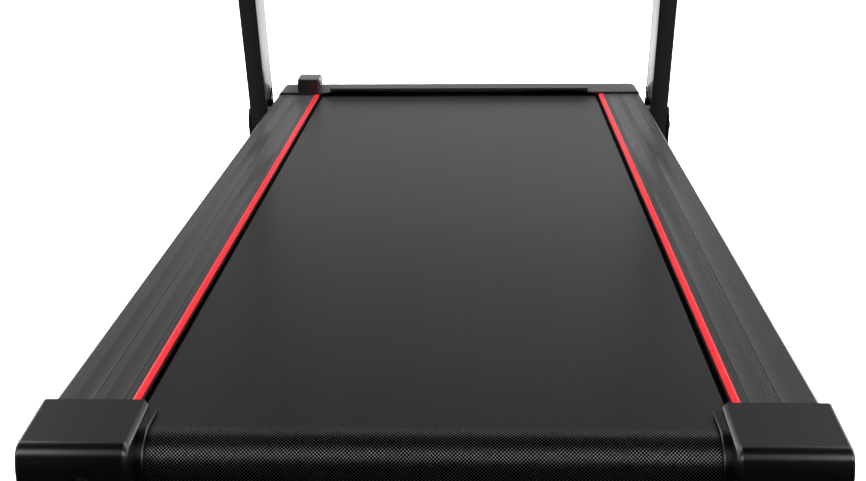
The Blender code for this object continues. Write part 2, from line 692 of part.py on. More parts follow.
def ribbed_pulley(name, radius, bore, y, z):
    """A pulley's plain rim and bore, across the width of PULLEY_X."""
    width = PULLEY_X[1] - PULLEY_X[0]
    profile = [(radius, width), (radius, 0.0), (bore, 0.0), (bore, width)]
    return turned(name, profile, (PULLEY_X[0], y, z), (1, 0, 0))


def roller_pulley():
    pulley = ribbed_pulley("roller_pulley", ROLLER_PULLEY_RADIUS, 0.0066, FRONT_ROLLER_Y, ROLLER_Z)
    return finish(pulley, "pulley_aluminium")


def motor_pulley():
    """The small pulley and the end of the motor shaft that carries it."""
    length = MOTOR_X[0] - 0.0005 - PULLEY_X[0]
    width = PULLEY_X[1] - PULLEY_X[0]
    shaft = [(0.0, length), (0.005, length), (0.005, width)]
    profile = shaft + [(MOTOR_PULLEY_RADIUS, width), (MOTOR_PULLEY_RADIUS, 0.0), (0.0, 0.0)]
    pulley = turned("motor_pulley", profile, (PULLEY_X[0], MOTOR_Y, MOTOR_Z), (1, 0, 0))
    return finish(pulley, "pulley_aluminium")


def drive_belt():
    ends = ((FRONT_ROLLER_Y, ROLLER_Z), (MOTOR_Y, MOTOR_Z))
    inner_radii = (ROLLER_PULLEY_RADIUS + PULLEY_CLEARANCE, MOTOR_PULLEY_RADIUS + PULLEY_CLEARANCE)
    outer_radii = [radius + DRIVE_BELT_THICKNESS for radius in inner_radii]
    outer = loop_outline(ends[0], outer_radii[0], ends[1], outer_radii[1], 16)
    inner = loop_outline(ends[0], inner_radii[0], ends[1], inner_radii[1], 16)
    return finish(yz_prism("drive_belt", [outer, inner], DRIVE_BELT_X), "drive_rubber")


def motor():
    """A round motor with narrower end bells."""
    length = MOTOR_X[1] - MOTOR_X[0]
    bell, neck = MOTOR_RADIUS - 0.003, 0.014
    far_bell = [(0.0, length), (neck, length), (bell, length - 0.006), (bell, length - 0.020)]
    can = [(MOTOR_RADIUS, length - 0.022), (MOTOR_RADIUS, 0.022)]
    profile = far_bell + can + [(bell, 0.020), (bell, 0.006), (neck, 0.0), (0.0, 0.0)]
    return finish(turned("motor", profile, (MOTOR_X[0], MOTOR_Y, MOTOR_Z), (1, 0, 0)), "motor_paint")


def motor_bracket():
    """A pressed tray that hangs the motor between the two front cross members."""
    x_range = (-0.165, -0.065)
    tray = box("motor_bracket", (x_range[0], 0.569, 0.0250), (x_range[1], 0.678, 0.0280))
    for y in (0.569, 0.675):
        join(tray, box("tray_wall", (x_range[0], y, 0.0260), (x_range[1], y + 0.003, TUBE_Z[0] - FIT_GAP)))
    return finish(tray, "frame_paint")


def controller_box():
    """The motor controller, with cooling fins on top."""
    low = (0.020, 0.588, 0.0238)
    body = box("controller_box", low, (0.190, 0.660, 0.0640))
    for i in range(6):
        y = 0.591 + i * 0.012
        join(body, box("fin", (0.025, y, 0.0630), (0.185, y + 0.003, 0.0760)))
    return finish(body, "heat_sink_aluminium")


# ---------------------------------------------------------------- electrics on the hood

def power_inlet():
    """The mains socket: a block with a recess for the plug."""
    low = (INLET_X[0], FRONT_Y - 0.0195, INLET_Z[0])
    inlet = box("power_inlet", low, (INLET_X[1], FRONT_Y + 0.0005, INLET_Z[1]))
    recess_low = (INLET_X[0] + 0.003, FRONT_Y - 0.016, INLET_Z[0] + 0.003)
    cut(inlet, box("plug_recess", recess_low, (INLET_X[1] - 0.003, FRONT_Y + 0.004, INLET_Z[1] - 0.003)))
    return finish(inlet, "electrics_plastic")


def power_switch():
    """A rocker with a shallow V front, resting with its upper half pressed in."""
    y, z = SWITCH_PIVOT
    crest, valley = 0.012, 0.0102
    outline = [(-0.004, -0.009), (crest, -0.011), (valley, 0.0), (crest, 0.011), (-0.004, 0.009)]
    turn = Matrix.Rotation(SWITCH_TILT, 4, "Z")
    frame = Matrix.Translation((0.0, y, z)) @ yz_frame() @ turn
    return finish(prism("power_switch", [outline], frame, *SWITCH_X), "electrics_plastic")


def corner_pod():
    """A small housing on the hood's left ear, with a bore for its button."""
    ear_z, hood_z = EAR_Z + POD_SEAT, HOOD_TOP + POD_SEAT
    front_z = hood_z - (POD_Y[1] - HOOD_RIDGE_Y) * math.tan(HOOD_SLOPE)
    outline = [(POD_Y[0], ear_z), (HOOD_Y + EAR_DEPTH, hood_z), (HOOD_RIDGE_Y, hood_z), (POD_Y[1], front_z)]
    outline += [(POD_Y[1], POD_TOP - 0.003), (POD_Y[1] - 0.003, POD_TOP)]
    outline += [(POD_Y[0] + 0.002, POD_TOP), (POD_Y[0], POD_TOP - 0.002)]
    pod = yz_prism("corner_pod", [outline], POD_X)
    soften(pod, 0.001)
    y, z = POD_BUTTON_AT
    start, end = (POD_X[1] + 0.002, y, z), (POD_X[1] - 0.010, y, z)
    cut(pod, cylinder("button_bore", start, end, POD_BUTTON_RADIUS + 0.0004, SMALL_STEPS))
    return finish(pod, "pod_plastic")


def pod_button():
    """A domed push button on the pod's inner face."""
    radius, length = POD_BUTTON_RADIUS, 0.010
    dome = ((0.0, length), (radius * 0.6, length - 0.0004), (radius, length - 0.0015))
    profile = dome + ((radius, 0.0), (0.0, 0.0))
    start = (POD_X[1] - 0.0065, *POD_BUTTON_AT)
    return finish(turned("pod_button", profile, start, (1, 0, 0), SMALL_STEPS), "pod_button_grey")


# ---------------------------------------------------------------- mast

UP = Vector((0.0, -math.sin(LEAN), math.cos(LEAN)))
TO_USER = Vector((0.0, -math.cos(LEAN), -math.sin(LEAN)))
PIVOT = Vector((0.0, PIVOT_Y, PIVOT_Z))


def mast_point(x, along, to_user):
    """A point given by its distance up the mast from the pivot, and towards the user."""
    return PIVOT + Vector((x, 0.0, 0.0)) + UP * along + TO_USER * to_user


def mast_frame():
    """Local X runs up the mast, local Y towards the user, and local Z to the left."""
    turn = Matrix((UP, TO_USER, UP.cross(TO_USER))).transposed().to_4x4()
    return Matrix.Translation(PIVOT) @ turn


def mast_prism(name, outlines, x_range):
    """Outlines given up the mast and towards the user, extruded across the machine."""
    low, high = sorted(UP.cross(TO_USER).x * x for x in x_range)
    return prism(name, outlines, mast_frame(), low, high)


def on_mast(obj):
    """Hangs a piece on the mast's hinge empty."""
    obj.parent = HINGE
    obj.matrix_parent_inverse = Matrix.Translation(-PIVOT)
    return obj


def add_hinge():
    """The empty on the mast's hinge axis that carries everything that folds."""
    hinge = bpy.data.objects.new("mast_hinge", None)
    hinge.location = PIVOT
    return adopt_new(hinge)


HINGE = add_hinge()


def upright(side, word):
    """A leaning box tube, round at its foot and open at its top."""
    half = UPRIGHT_DEPTH / 2
    foot = arc((0.0, 0.0), half, -math.pi / 2, -3 * math.pi / 2, 12)
    outline = foot + [(UPRIGHT_LENGTH, half), (UPRIGHT_LENGTH, -half)]
    tube = mast_prism("upright_" + word, [outline], [side * x for x in UPRIGHT_X])
    inner = half - UPRIGHT_WALL
    low, high = -0.010, UPRIGHT_LENGTH + 0.010
    bore_outline = [(low, -inner), (high, -inner), (high, inner), (low, inner)]
    bore_x = [side * (UPRIGHT_X[0] + UPRIGHT_WALL), side * (UPRIGHT_X[1] - UPRIGHT_WALL)]
    cut(tube, mast_prism("upright_bore", [bore_outline], bore_x))
    hole_x = (UPRIGHT_X[0] - 0.003, UPRIGHT_X[1] + 0.003)
    hole_radius = PIVOT_BOLT_RADIUS + BOLT_CLEARANCE
    cut(tube, side_cylinder("pivot_hole", side, hole_x, PIVOT_Y, PIVOT_Z, hole_radius, 24))
    return on_mast(finish(tube, "upright_paint"))


def hinge_bracket(side, word):
    """A U-shaped bracket under the frame that holds the upright between two ears."""
    bracket = side_box("hinge_bracket_" + word, side, (0.226, BRACKET_OUTER_X[1]), BRACKET_Y, BRACKET_Z)
    rear, front = BRACKET_Y
    low_z = BRACKET_Z[0] + 0.001
    radius = front - PIVOT_Y
    inner_ear = [(PIVOT_Y - radius, low_z), (front, low_z)]
    inner_ear += arc((PIVOT_Y, PIVOT_Z), radius, 0.0, math.pi, 8)
    join(bracket, yz_prism("inner_ear", [inner_ear], [side * x for x in BRACKET_INNER_X]))
    outer_ear = [(rear + 0.002, low_z), (front, low_z), (front, 0.085)]
    outer_ear += arc((0.4535, 0.098), 0.014, 0.3, math.pi + 0.3, 8)
    join(bracket, yz_prism("outer_ear", [outer_ear], [side * x for x in BRACKET_OUTER_X]))
    hole_x = (BRACKET_INNER_X[0] - 0.002, BRACKET_OUTER_X[1] + 0.002)
    hole_radius = PIVOT_BOLT_RADIUS + BOLT_CLEARANCE
    cut(bracket, side_cylinder("bracket_hole", side, hole_x, PIVOT_Y, PIVOT_Z, hole_radius, 24))
    return finish(bracket, "frame_paint")


def pivot_bolt(side, word):
    """The domed bolt that the upright swings on."""
    inner_x = BRACKET_INNER_X[0] - 0.0007
    length = BRACKET_OUTER_X[1] + FIT_GAP - inner_x
    profile = [(0.0, length + 0.006), (0.005, length + 0.0055), (0.0095, length + 0.003), (0.011, length)]
    profile += [(PIVOT_BOLT_RADIUS, length), (PIVOT_BOLT_RADIUS, 0.0), (0.0, 0.0)]
    bolt = turned("pivot_bolt_" + word, profile, (side * inner_x, PIVOT_Y, PIVOT_Z), (side, 0, 0), 24)
    return finish(bolt, "bolt_steel")


def lock_lever(side, word):
    """A short flat lever on a round knob, on the upright's inner face."""
    hub = mast_point(0.0, *LEVER_HUB)
    lever = side_cylinder("lock_lever_" + word, side, (LEVER_HUB_X, LEVER_X[1]), hub.y, hub.z, 0.006)
    ends = arc((0.0, 0.0), 0.0022, math.pi / 2, 3 * math.pi / 2, 5)
    ends += arc((LEVER_LENGTH, 0.0), 0.0018, -math.pi / 2, math.pi / 2, 5)
    frame = Matrix.Translation((0.0, hub.y, hub.z)) @ yz_frame() @ Matrix.Rotation(LEVER_RISE, 4, "Z")
    join(lever, prism("lever_arm", [ends], frame, *sorted(side * x for x in LEVER_X)))
    return on_mast(finish(lever, "cap_plastic"))


def crossbar():
    """The round tube between the uprights that carries the console."""
    reach = UPRIGHT_X[0] - FIT_GAP
    start, end = mast_point(-reach, *CROSSBAR_AT), mast_point(reach, *CROSSBAR_AT)
    bar = cylinder("crossbar", start, end, CROSSBAR_RADIUS, 24)
    return on_mast(finish(bar, "upright_paint"))


def handle_path():
    """Points up the mast and towards the user: a short rise, a bend, and the slope that the hand holds."""
    turn = math.pi / 2 - HANDLE_SLOPE - LEAN
    start = UPRIGHT_LENGTH + 0.004
    bend_at = start + HANDLE_RISE
    steps = 6
    bend = [turn * i / steps for i in range(steps + 1)]
    path = [(start, 0.0)]
    path += [(bend_at + HANDLE_BEND * math.sin(a), HANDLE_BEND * (1 - math.cos(a))) for a in bend]
    along, to_user = path[-1]
    path.append((along + HANDLE_LENGTH * math.cos(turn), to_user + HANDLE_LENGTH * math.sin(turn)))
    return path


def handle(side, word):
    """A bent round tube on a foot that closes the upright's top."""
    x = side * (UPRIGHT_X[0] + UPRIGHT_X[1]) / 2
    curve = bpy.data.curves.new("handle_tube", "CURVE")
    curve.dimensions = "3D"
    curve.bevel_depth = HANDLE_RADIUS
    curve.bevel_resolution = 3
    curve.use_fill_caps = True
    spline = curve.splines.new("POLY")
    path = handle_path()
    spline.points.add(len(path) - 1)
    for point, (along, to_user) in zip(spline.points, path):
        point.co = (*mast_point(x, along, to_user), 1.0)
    guide = adopt_new(bpy.data.objects.new("handle_path", curve))
    graph = bpy.context.evaluated_depsgraph_get()
    mesh = bpy.data.meshes.new_from_object(guide.evaluated_get(graph))
    bpy.data.objects.remove(guide, do_unlink=True)
    shape = bmesh.new()
    shape.from_mesh(mesh)
    bmesh.ops.remove_doubles(shape, verts=shape.verts, dist=0.000001)
    bmesh.ops.recalc_face_normals(shape, faces=shape.faces)
    shape.to_mesh(mesh)
    shape.free()
    tube = mesh_object("handle_" + word, mesh)
    half, low = UPRIGHT_DEPTH / 2, UPRIGHT_LENGTH + FIT_GAP
    shoulder, top = low + 0.006, low + 0.022
    foot = [(low, -half), (low, half), (shoulder, half), (top, 0.014), (top, -0.014), (shoulder, -half)]
    join(tube, mast_prism("handle_foot", [foot], [side * x for x in UPRIGHT_X]))
    return on_mast(finish(tube, "upright_paint"))


def grip(side, word):
    """The foam sleeve on the handle's slope."""
    x = side * (UPRIGHT_X[0] + UPRIGHT_X[1]) / 2
    end = mast_point(x, *handle_path()[-1])
    along = (end - mast_point(x, *handle_path()[-2])).normalized()
    inner, outer = GRIP_RADII
    sleeve = [(outer - 0.0015, GRIP_LENGTH), (outer, GRIP_LENGTH - 0.002)]
    profile = sleeve + [(outer, 0.002), (outer - 0.0015, 0.0), (inner, 0.0), (inner, GRIP_LENGTH)]
    start = end - along * (GRIP_LENGTH + 0.008)
    return on_mast(finish(turned("grip_" + word, profile, start, along, 24), "grip_foam"))


# ---------------------------------------------------------------- console

def console_frame():
    """Origin at the lower edge of the console's face: local X to the right, Y up the face, Z out of it."""
    low, high = mast_point(0.0, *CONSOLE_FACE_LOW), mast_point(0.0, *CONSOLE_FACE_HIGH)
    up_face = (high - low).normalized()
    across = Vector((1.0, 0.0, 0.0))
    turn = Matrix((across, up_face, across.cross(up_face))).transposed().to_4x4()
    return Matrix.Translation(low) @ turn


def console_outline(inset):
    """Side view of the console: a sloped face, a slim back and a lower part round the crossbar."""
    low, high = Vector(CONSOLE_FACE_LOW), Vector(CONSOLE_FACE_HIGH)
    along = (high - low).normalized()
    inward = Vector((along.y, -along.x))
    face = [tuple(low + (along + inward) * inset), tuple(high + (inward - along) * inset)]
    back = [(0.978 - inset, -0.114 + inset), (0.905 + inset, -0.062 + inset)]
    foot = [(0.862 + inset, -0.030 + inset), (0.862 + inset, 0.014 - inset)]
    return face + back + foot


def console_body():
    """The console's shell, with openings for its buttons and its cable."""
    half = CONSOLE_HALF_WIDTH
    body = mast_prism("console_body", [console_outline(0.0)], (-half, half))
    soften(body, 0.003, 2)
    inner = half - CONSOLE_WALL
    cut(body, mast_prism("console_inside", [console_outline(CONSOLE_WALL)], (-inner, inner)))
    reach = half + 0.002
    start, end = mast_point(-reach, *CROSSBAR_AT), mast_point(reach, *CROSSBAR_AT)
    cut(body, cylinder("crossbar_seat", start, end, CROSSBAR_RADIUS + 0.0006, 24))
    frame = console_frame()
    for _, x, _ in BUTTONS:
        start, end = frame @ Vector((x, BUTTON_ROW, -0.006)), frame @ Vector((x, BUTTON_ROW, 0.003))
        cut(body, cylinder("button_hole", start, end, BUTTON_RADIUS + 0.0005, SMALL_STEPS))
    start, end = frame @ Vector((0.0, KEY_ROW, -0.006)), frame @ Vector((0.0, KEY_ROW, 0.003))
    cut(body, cylinder("key_hole", start, end, 0.0046, SMALL_STEPS))
    return on_mast(finish(body, "console_plastic"))


def console_button(name, x, material):
    """A round push button through the console's face."""
    radius = BUTTON_RADIUS
    profile = ((0.0, 0.0080), (radius * 0.7, 0.0077), (radius, 0.0065), (radius, 0.0), (0.0, 0.0))
    frame = console_frame()
    start = frame @ Vector((x, BUTTON_ROW, -0.0055))
    axis = frame.to_3x3() @ Vector((0.0, 0.0, 1.0))
    return on_mast(finish(turned(name, profile, start, axis, SMALL_STEPS), material))


def safety_key():
    """A magnetic key: a finger tab on a round stem that stops the belt when it is pulled out."""
    tab = [(0.0, 0.014), (0.0125, 0.014), (0.014, 0.0125), (0.014, 0.0062)]
    profile = tab + [(0.0040, 0.0062), (0.0040, 0.0), (0.0, 0.0)]
    frame = console_frame()
    start = frame @ Vector((0.0, KEY_ROW, -0.0055))
    axis = frame.to_3x3() @ Vector((0.0, 0.0, 1.0))
    return on_mast(finish(turned("safety_key", profile, start, axis, 24), "button_red"))


def display_lens():
    lens = box("display_lens", (-0.090, 0.062, FIT_GAP), (0.090, 0.130, 0.0020), console_frame())
    return on_mast(finish(lens, "lens_glass"))


# ---------------------------------------------------------------- assembly

def build_deck():
    base_frame()
    deck_board()
    front_cover()
    bottom_pan()
    running_belt()
    for side, word in SIDES:
        rear_foot(side, word)
        front_pad(side, word)
        transport_wheel(side, word)
        wheel_axle(side, word)
        deck_cushion(side, word, "rear", -0.500)
        deck_cushion(side, word, "front", 0.420)
        rail(side, word)
        stripe(side, word)
        end_cap(side, word)
        tension_bolt(side, word)


def build_drive():
    roller("front_roller", FRONT_ROLLER_Y, 0.0068)
    roller("rear_roller", REAR_ROLLER_Y, 0.0083)
    front_roller_axle()
    rear_roller_axle()
    roller_pulley()
    motor_pulley()
    drive_belt()
    motor()
    motor_bracket()
    controller_box()
    power_inlet()
    power_switch()
    corner_pod()
    pod_button()


def build_mast():
    crossbar()
    console_body()
    display_lens()
    safety_key()
    for name, x, material in BUTTONS:
        console_button(name, x, material)
    for side, word in SIDES:
        hinge_bracket(side, word)
        pivot_bolt(side, word)
        upright(side, word)
        lock_lever(side, word)
        handle(side, word)
        grip(side, word)


build_deck()
build_drive()
build_mast()
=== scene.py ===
"""Looks for the slim folding treadmill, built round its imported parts.

Units are metres and +Z is up. +Y points to the motor end and the user stands at -Y.
Left is -X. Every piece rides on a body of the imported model.
"""

import json
import math

import bmesh
import bpy
from mathutils import Matrix, Vector


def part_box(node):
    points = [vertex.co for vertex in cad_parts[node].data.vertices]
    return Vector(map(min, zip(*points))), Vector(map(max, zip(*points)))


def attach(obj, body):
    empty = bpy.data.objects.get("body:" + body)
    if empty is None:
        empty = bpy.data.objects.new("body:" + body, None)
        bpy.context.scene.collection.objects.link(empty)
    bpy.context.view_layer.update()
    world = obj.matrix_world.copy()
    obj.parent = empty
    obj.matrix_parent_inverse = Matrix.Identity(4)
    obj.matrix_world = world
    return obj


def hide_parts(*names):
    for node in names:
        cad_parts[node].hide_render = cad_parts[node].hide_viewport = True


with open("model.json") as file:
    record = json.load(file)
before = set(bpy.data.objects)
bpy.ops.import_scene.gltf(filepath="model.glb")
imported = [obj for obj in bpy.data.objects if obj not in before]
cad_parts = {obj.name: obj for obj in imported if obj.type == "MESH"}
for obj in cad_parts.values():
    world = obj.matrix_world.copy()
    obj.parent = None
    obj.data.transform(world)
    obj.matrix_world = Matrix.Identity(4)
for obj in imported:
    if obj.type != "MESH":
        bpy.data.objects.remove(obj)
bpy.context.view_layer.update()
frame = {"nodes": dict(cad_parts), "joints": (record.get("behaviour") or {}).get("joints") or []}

SIDES = ((-1, "left"), (1, "right"))

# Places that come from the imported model
BELT_LOW, BELT_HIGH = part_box("running_belt")
RAIL_LOW, RAIL_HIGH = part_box("rail_right")
STRIPE_LOW, STRIPE_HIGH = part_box("stripe_right")
CAP_LOW, CAP_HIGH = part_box("end_cap_right")
HOOD_LOW, HOOD_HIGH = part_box("front_cover")
UPRIGHT_LOW, UPRIGHT_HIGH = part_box("upright_right")
LENS_LOW, LENS_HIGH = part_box("display_lens")
CONSOLE_HALF_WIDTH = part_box("console_body")[1].x
CROSSBAR_LOW, CROSSBAR_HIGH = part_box("crossbar")
JOINTS = {joint["name"]: joint for joint in frame["joints"]}
PIVOT = Vector(JOINTS["mast_fold"]["pos_m"])
FACE_NORMAL = Vector(JOINTS["safety_key_pull"]["axis"])

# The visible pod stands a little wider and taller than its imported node
POD_WIDER = Vector((0.0040, 0.0, 0.0))
POD_TALLER = Vector((0.0, 0.0, 0.0015))
POD_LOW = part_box("corner_pod")[0] - POD_WIDER
POD_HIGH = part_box("corner_pod")[1] + POD_TALLER

BELT_TOP = BELT_HIGH.z
BELT_RADIUS = (BELT_HIGH.z - BELT_LOW.z) / 2
ROLLER_Z = BELT_TOP - BELT_RADIUS
REAR_ROLLER_Y = BELT_LOW.y + BELT_RADIUS
FRONT_ROLLER_Y = BELT_HIGH.y - BELT_RADIUS
BELT_THICKNESS = 0.0018

# The belt's weave, whose bars close to the camera are painted glints and whose gaps are painted black
# shade: its pitch, the share that its bars cover, where a bar's edge is soft, how strong the painted glints
# and shade are away from the rear roller's bend, and the distances from the camera between which they blur
# into an even colour
WEAVE_PITCH = 0.0026
WEAVE_COVER = 0.41
WEAVE_BAR_EDGE = (0.36, 0.80)
WEAVE_GLINT_ON_TOP = 0.42
WEAVE_GLINT_FADE = (0.92, 1.45)

# Mast sizes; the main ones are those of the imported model
LEAN = math.radians(16)
UP = Vector((0.0, -math.sin(LEAN), math.cos(LEAN)))
TO_USER = Vector((0.0, -math.cos(LEAN), -math.sin(LEAN)))
UPRIGHT_DEPTH = 0.070
UPRIGHT_LENGTH = 0.930
HANDLE_RADIUS = 0.0125
HANDLE_RISE = 0.030
HANDLE_BEND = 0.060
HANDLE_SLOPE = math.radians(45)
HANDLE_LENGTH = 0.175
GRIP_LENGTH = 0.150
GRIP_RADIUS = 0.0155
GRIP_HOLLOW = 0.00055
GRIP_RINGS = 9
CROSSBAR_AT = (0.884, -0.008)
FACE_AT = (0.900, 0.022)
LEVER_HUB = (0.047, 0.0145)
LEVER_LENGTH = 0.033
LEVER_ARM_RADII = (0.0022, 0.0018)
KNOB_RADIUS = 0.0059
LEVER_RISE = math.radians(28)

# Planes to draw outlines in: local X and Y run along the world's Y and Z, or X and Z
YZ_PLANE = Matrix(((0, 0, 1, 0), (1, 0, 0, 0), (0, 1, 0, 0), (0, 0, 0, 1)))
XZ_PLANE = Matrix(((1, 0, 0, 0), (0, 0, -1, 0), (0, 1, 0, 0), (0, 0, 0, 1)))


# ---------------------------------------------------------------- mesh tools

def link(name, mesh):
    obj = bpy.data.objects.new(name, mesh)
    bpy.context.scene.collection.objects.link(obj)
    return obj


def bake(obj):
    """Applies the piece's modifiers and its transform, so that its mesh is in world space."""
    bpy.context.view_layer.update()
    graph = bpy.context.evaluated_depsgraph_get()
    mesh = bpy.data.meshes.new_from_object(obj.evaluated_get(graph))
    mesh.transform(obj.matrix_world)
    if obj.matrix_world.determinant() < 0:
        mesh.flip_normals()
    baked = link(obj.name + "_baked", mesh)
    name = obj.name
    bpy.data.objects.remove(obj, do_unlink=True)
    baked.name = name
    return baked


def boolean(obj, others, operation):
    for other in others:
        modifier = obj.modifiers.new(operation, "BOOLEAN")
        modifier.operation = operation
        modifier.solver = "EXACT"
        modifier.object = other
    obj = bake(obj)
    for other in others:
        bpy.data.objects.remove(other, do_unlink=True)
    return obj


def cut(obj, *others):
    return boolean(obj, others, "DIFFERENCE")


def join(obj, *others):
    return boolean(obj, others, "UNION")


def round_edges(obj, width, segments=3, angle=35):
    modifier = obj.modifiers.new("edge", "BEVEL")
    modifier.width = width
    modifier.segments = segments
    modifier.limit_method = "ANGLE"
    modifier.angle_limit = math.radians(angle)
    modifier.use_clamp_overlap = True
    return bake(obj)


def box(name, low, high):
    low, high = Vector(low), Vector(high)
    mesh = bpy.data.meshes.new(name)
    shape = bmesh.new()
    bmesh.ops.create_cube(shape, size=1.0)
    bmesh.ops.scale(shape, vec=high - low, verts=shape.verts)
    bmesh.ops.translate(shape, vec=(low + high) / 2, verts=shape.verts)
    shape.to_mesh(mesh)
    shape.free()
    return link(name, mesh)


def facing(centre, axis):
    """A place at the centre, with its local Z along the axis."""
    turn = Vector(axis).to_track_quat("Z", "Y").to_matrix().to_4x4()
    return Matrix.Translation(centre) @ turn


def turned(name, profile, centre, axis, steps=48):
    """A solid of revolution from (radius, height) pairs running down its outer side."""
    mesh = bpy.data.meshes.new(name)
    edges = [(i, i + 1) for i in range(len(profile) - 1)]
    if profile[0][0] > 0:
        edges.append((len(profile) - 1, 0))
    mesh.from_pydata([(radius, 0.0, height) for radius, height in profile], edges, [])
    obj = link(name, mesh)
    obj.matrix_world = facing(centre, axis)
    screw = obj.modifiers.new("turn", "SCREW")
    screw.steps = steps
    screw.render_steps = steps
    screw.use_merge_vertices = True
    screw.merge_threshold = 0.00001
    return bake(obj)


def cylinder(name, start, end, radius, steps=48):
    start, end = Vector(start), Vector(end)
    length = (end - start).length
    profile = ((0.0, length), (radius, length), (radius, 0.0), (0.0, 0.0))
    return turned(name, profile, start, end - start, steps)


def closed_mesh(name, curve):
    """Turns a curve into a mesh with no doubled points."""
    guide = link(name, curve)
    graph = bpy.context.evaluated_depsgraph_get()
    mesh = bpy.data.meshes.new_from_object(guide.evaluated_get(graph))
    bpy.data.objects.remove(guide, do_unlink=True)
    shape = bmesh.new()
    shape.from_mesh(mesh)
    bmesh.ops.remove_doubles(shape, verts=shape.verts, dist=0.000001)
    bmesh.ops.recalc_face_normals(shape, faces=shape.faces)
    shape.to_mesh(mesh)
    shape.free()
    return mesh


def prism(name, outlines, place, low, high):
    """Flat outlines in the place's XY plane, extruded from low to high along its Z."""
    curve = bpy.data.curves.new(name, "CURVE")
    curve.dimensions = "2D"
    curve.fill_mode = "BOTH"
    curve.extrude = (high - low) / 2
    for outline in outlines:
        spline = curve.splines.new("POLY")
        spline.points.add(len(outline) - 1)
        for point, (a, b) in zip(spline.points, outline):
            point.co = (a, b, 0.0, 1.0)
        spline.use_cyclic_u = True
    obj = link(name, closed_mesh(name + "_outline", curve))
    obj.matrix_world = place @ Matrix.Translation((0.0, 0.0, (low + high) / 2))
    return bake(obj)


def yz_prism(name, outlines, x_range):
    return prism(name, outlines, YZ_PLANE, *sorted(x_range))


def xz_prism(name, outlines, y_range):
    return prism(name, outlines, XZ_PLANE, -y_range[1], -y_range[0])


def xy_prism(name, outlines, z_range):
    return prism(name, outlines, Matrix.Identity(4), *z_range)


def round_bar(name, points, radius):
    """A round bar with flat ends along a list of points."""
    curve = bpy.data.curves.new(name, "CURVE")
    curve.dimensions = "3D"
    curve.bevel_depth = radius
    curve.bevel_resolution = 8
    curve.use_fill_caps = True
    spline = curve.splines.new("POLY")
    spline.points.add(len(points) - 1)
    for point, co in zip(spline.points, points):
        point.co = (*co, 1.0)
    return link(name, closed_mesh(name + "_path", curve))


def rings_to_solid(name, rings):
    """Joins rings of the same number of points, and closes the first and the last."""
    shape = bmesh.new()
    rows = [[shape.verts.new(point) for point in ring] for ring in rings]
    count = len(rows[0])
    for near, far in zip(rows, rows[1:]):
        for i in range(count):
            j = (i + 1) % count
            shape.faces.new((near[i], near[j], far[j], far[i]))
    shape.faces.new(list(reversed(rows[0])))
    shape.faces.new(rows[-1])
    bmesh.ops.recalc_face_normals(shape, faces=shape.faces)
    mesh = bpy.data.meshes.new(name)
    shape.to_mesh(mesh)
    shape.free()
    return link(name, mesh)


def arc(centre, radius, start, end, steps):
    angles = [start + (end - start) * i / steps for i in range(steps + 1)]
    return [(centre[0] + radius * math.cos(a), centre[1] + radius * math.sin(a)) for a in angles]


def angle_steps(steps):
    """Angles from 0 to a right angle."""
    return [math.pi / 2 * i / steps for i in range(steps + 1)]


def rounded_rectangle(low, high, radius, steps=5):
    """Points round a rectangle with round corners, counter-clockwise."""
    corners = ((high, low, -90), (high, high, 0), (low, high, 90), (low, low, 180))
    points = []
    for x_end, y_end, start in corners:
        x = x_end[0] + (radius if x_end is low else -radius)
        y = y_end[1] + (radius if y_end is low else -radius)
        points += arc((x, y), radius, math.radians(start), math.radians(start + 90), steps)
    return points


def mirrored(outline, side):
    return [(side * a, b) for a, b in outline]


# ---------------------------------------------------------------- material tools

WHITE = (1.0, 1.0, 1.0)


def grey(value):
    return (value, value, value)


class Nodes:
    """A node tree, with short calls to add nodes to it."""

    def __init__(self, tree):
        self.tree = tree

    def add(self, kind, settings=None, **inputs):
        node = self.tree.nodes.new("ShaderNode" + kind)
        for key, value in (settings or {}).items():
            setattr(node, key, value)
        for key, value in inputs.items():
            self.feed(node.inputs[key.replace("_", " ")], value)
        return node

    def feed(self, socket, value):
        if isinstance(value, bpy.types.NodeSocket):
            self.tree.links.new(value, socket)
        elif isinstance(value, tuple) and len(value) == 3 and socket.type == "RGBA":
            socket.default_value = (*value, 1.0)
        else:
            socket.default_value = value

    def math(self, operation, a, b=0.0):
        node = self.add("Math", {"operation": operation})
        self.feed(node.inputs[0], a)
        self.feed(node.inputs[1], b)
        return node.outputs[0]

    def axis(self, vector, letter):
        return self.add("SeparateXYZ", Vector=vector).outputs[letter]

    def window(self, value, start, end, low=0.0, high=1.0):
        """A number that runs from low to high as the value runs from start to end."""
        node = self.add("MapRange", Value=value, From_Min=start, From_Max=end, To_Min=low, To_Max=high)
        return node.outputs["Result"]

    def between(self, factor, low, high):
        return self.window(factor, 0.0, 1.0, low, high)

    def mix(self, factor, first, second):
        """One of two numbers, or a share of both."""
        node = self.add("Mix", Factor=factor)
        self.feed(node.inputs[2], first)
        self.feed(node.inputs[3], second)
        return node.outputs[0]

    def blend(self, factor, first, second):
        """One of two colours, or a share of both."""
        node = self.add("Mix", {"data_type": "RGBA"}, Factor=factor)
        self.feed(node.inputs[6], first)
        self.feed(node.inputs[7], second)
        return node.outputs[2]


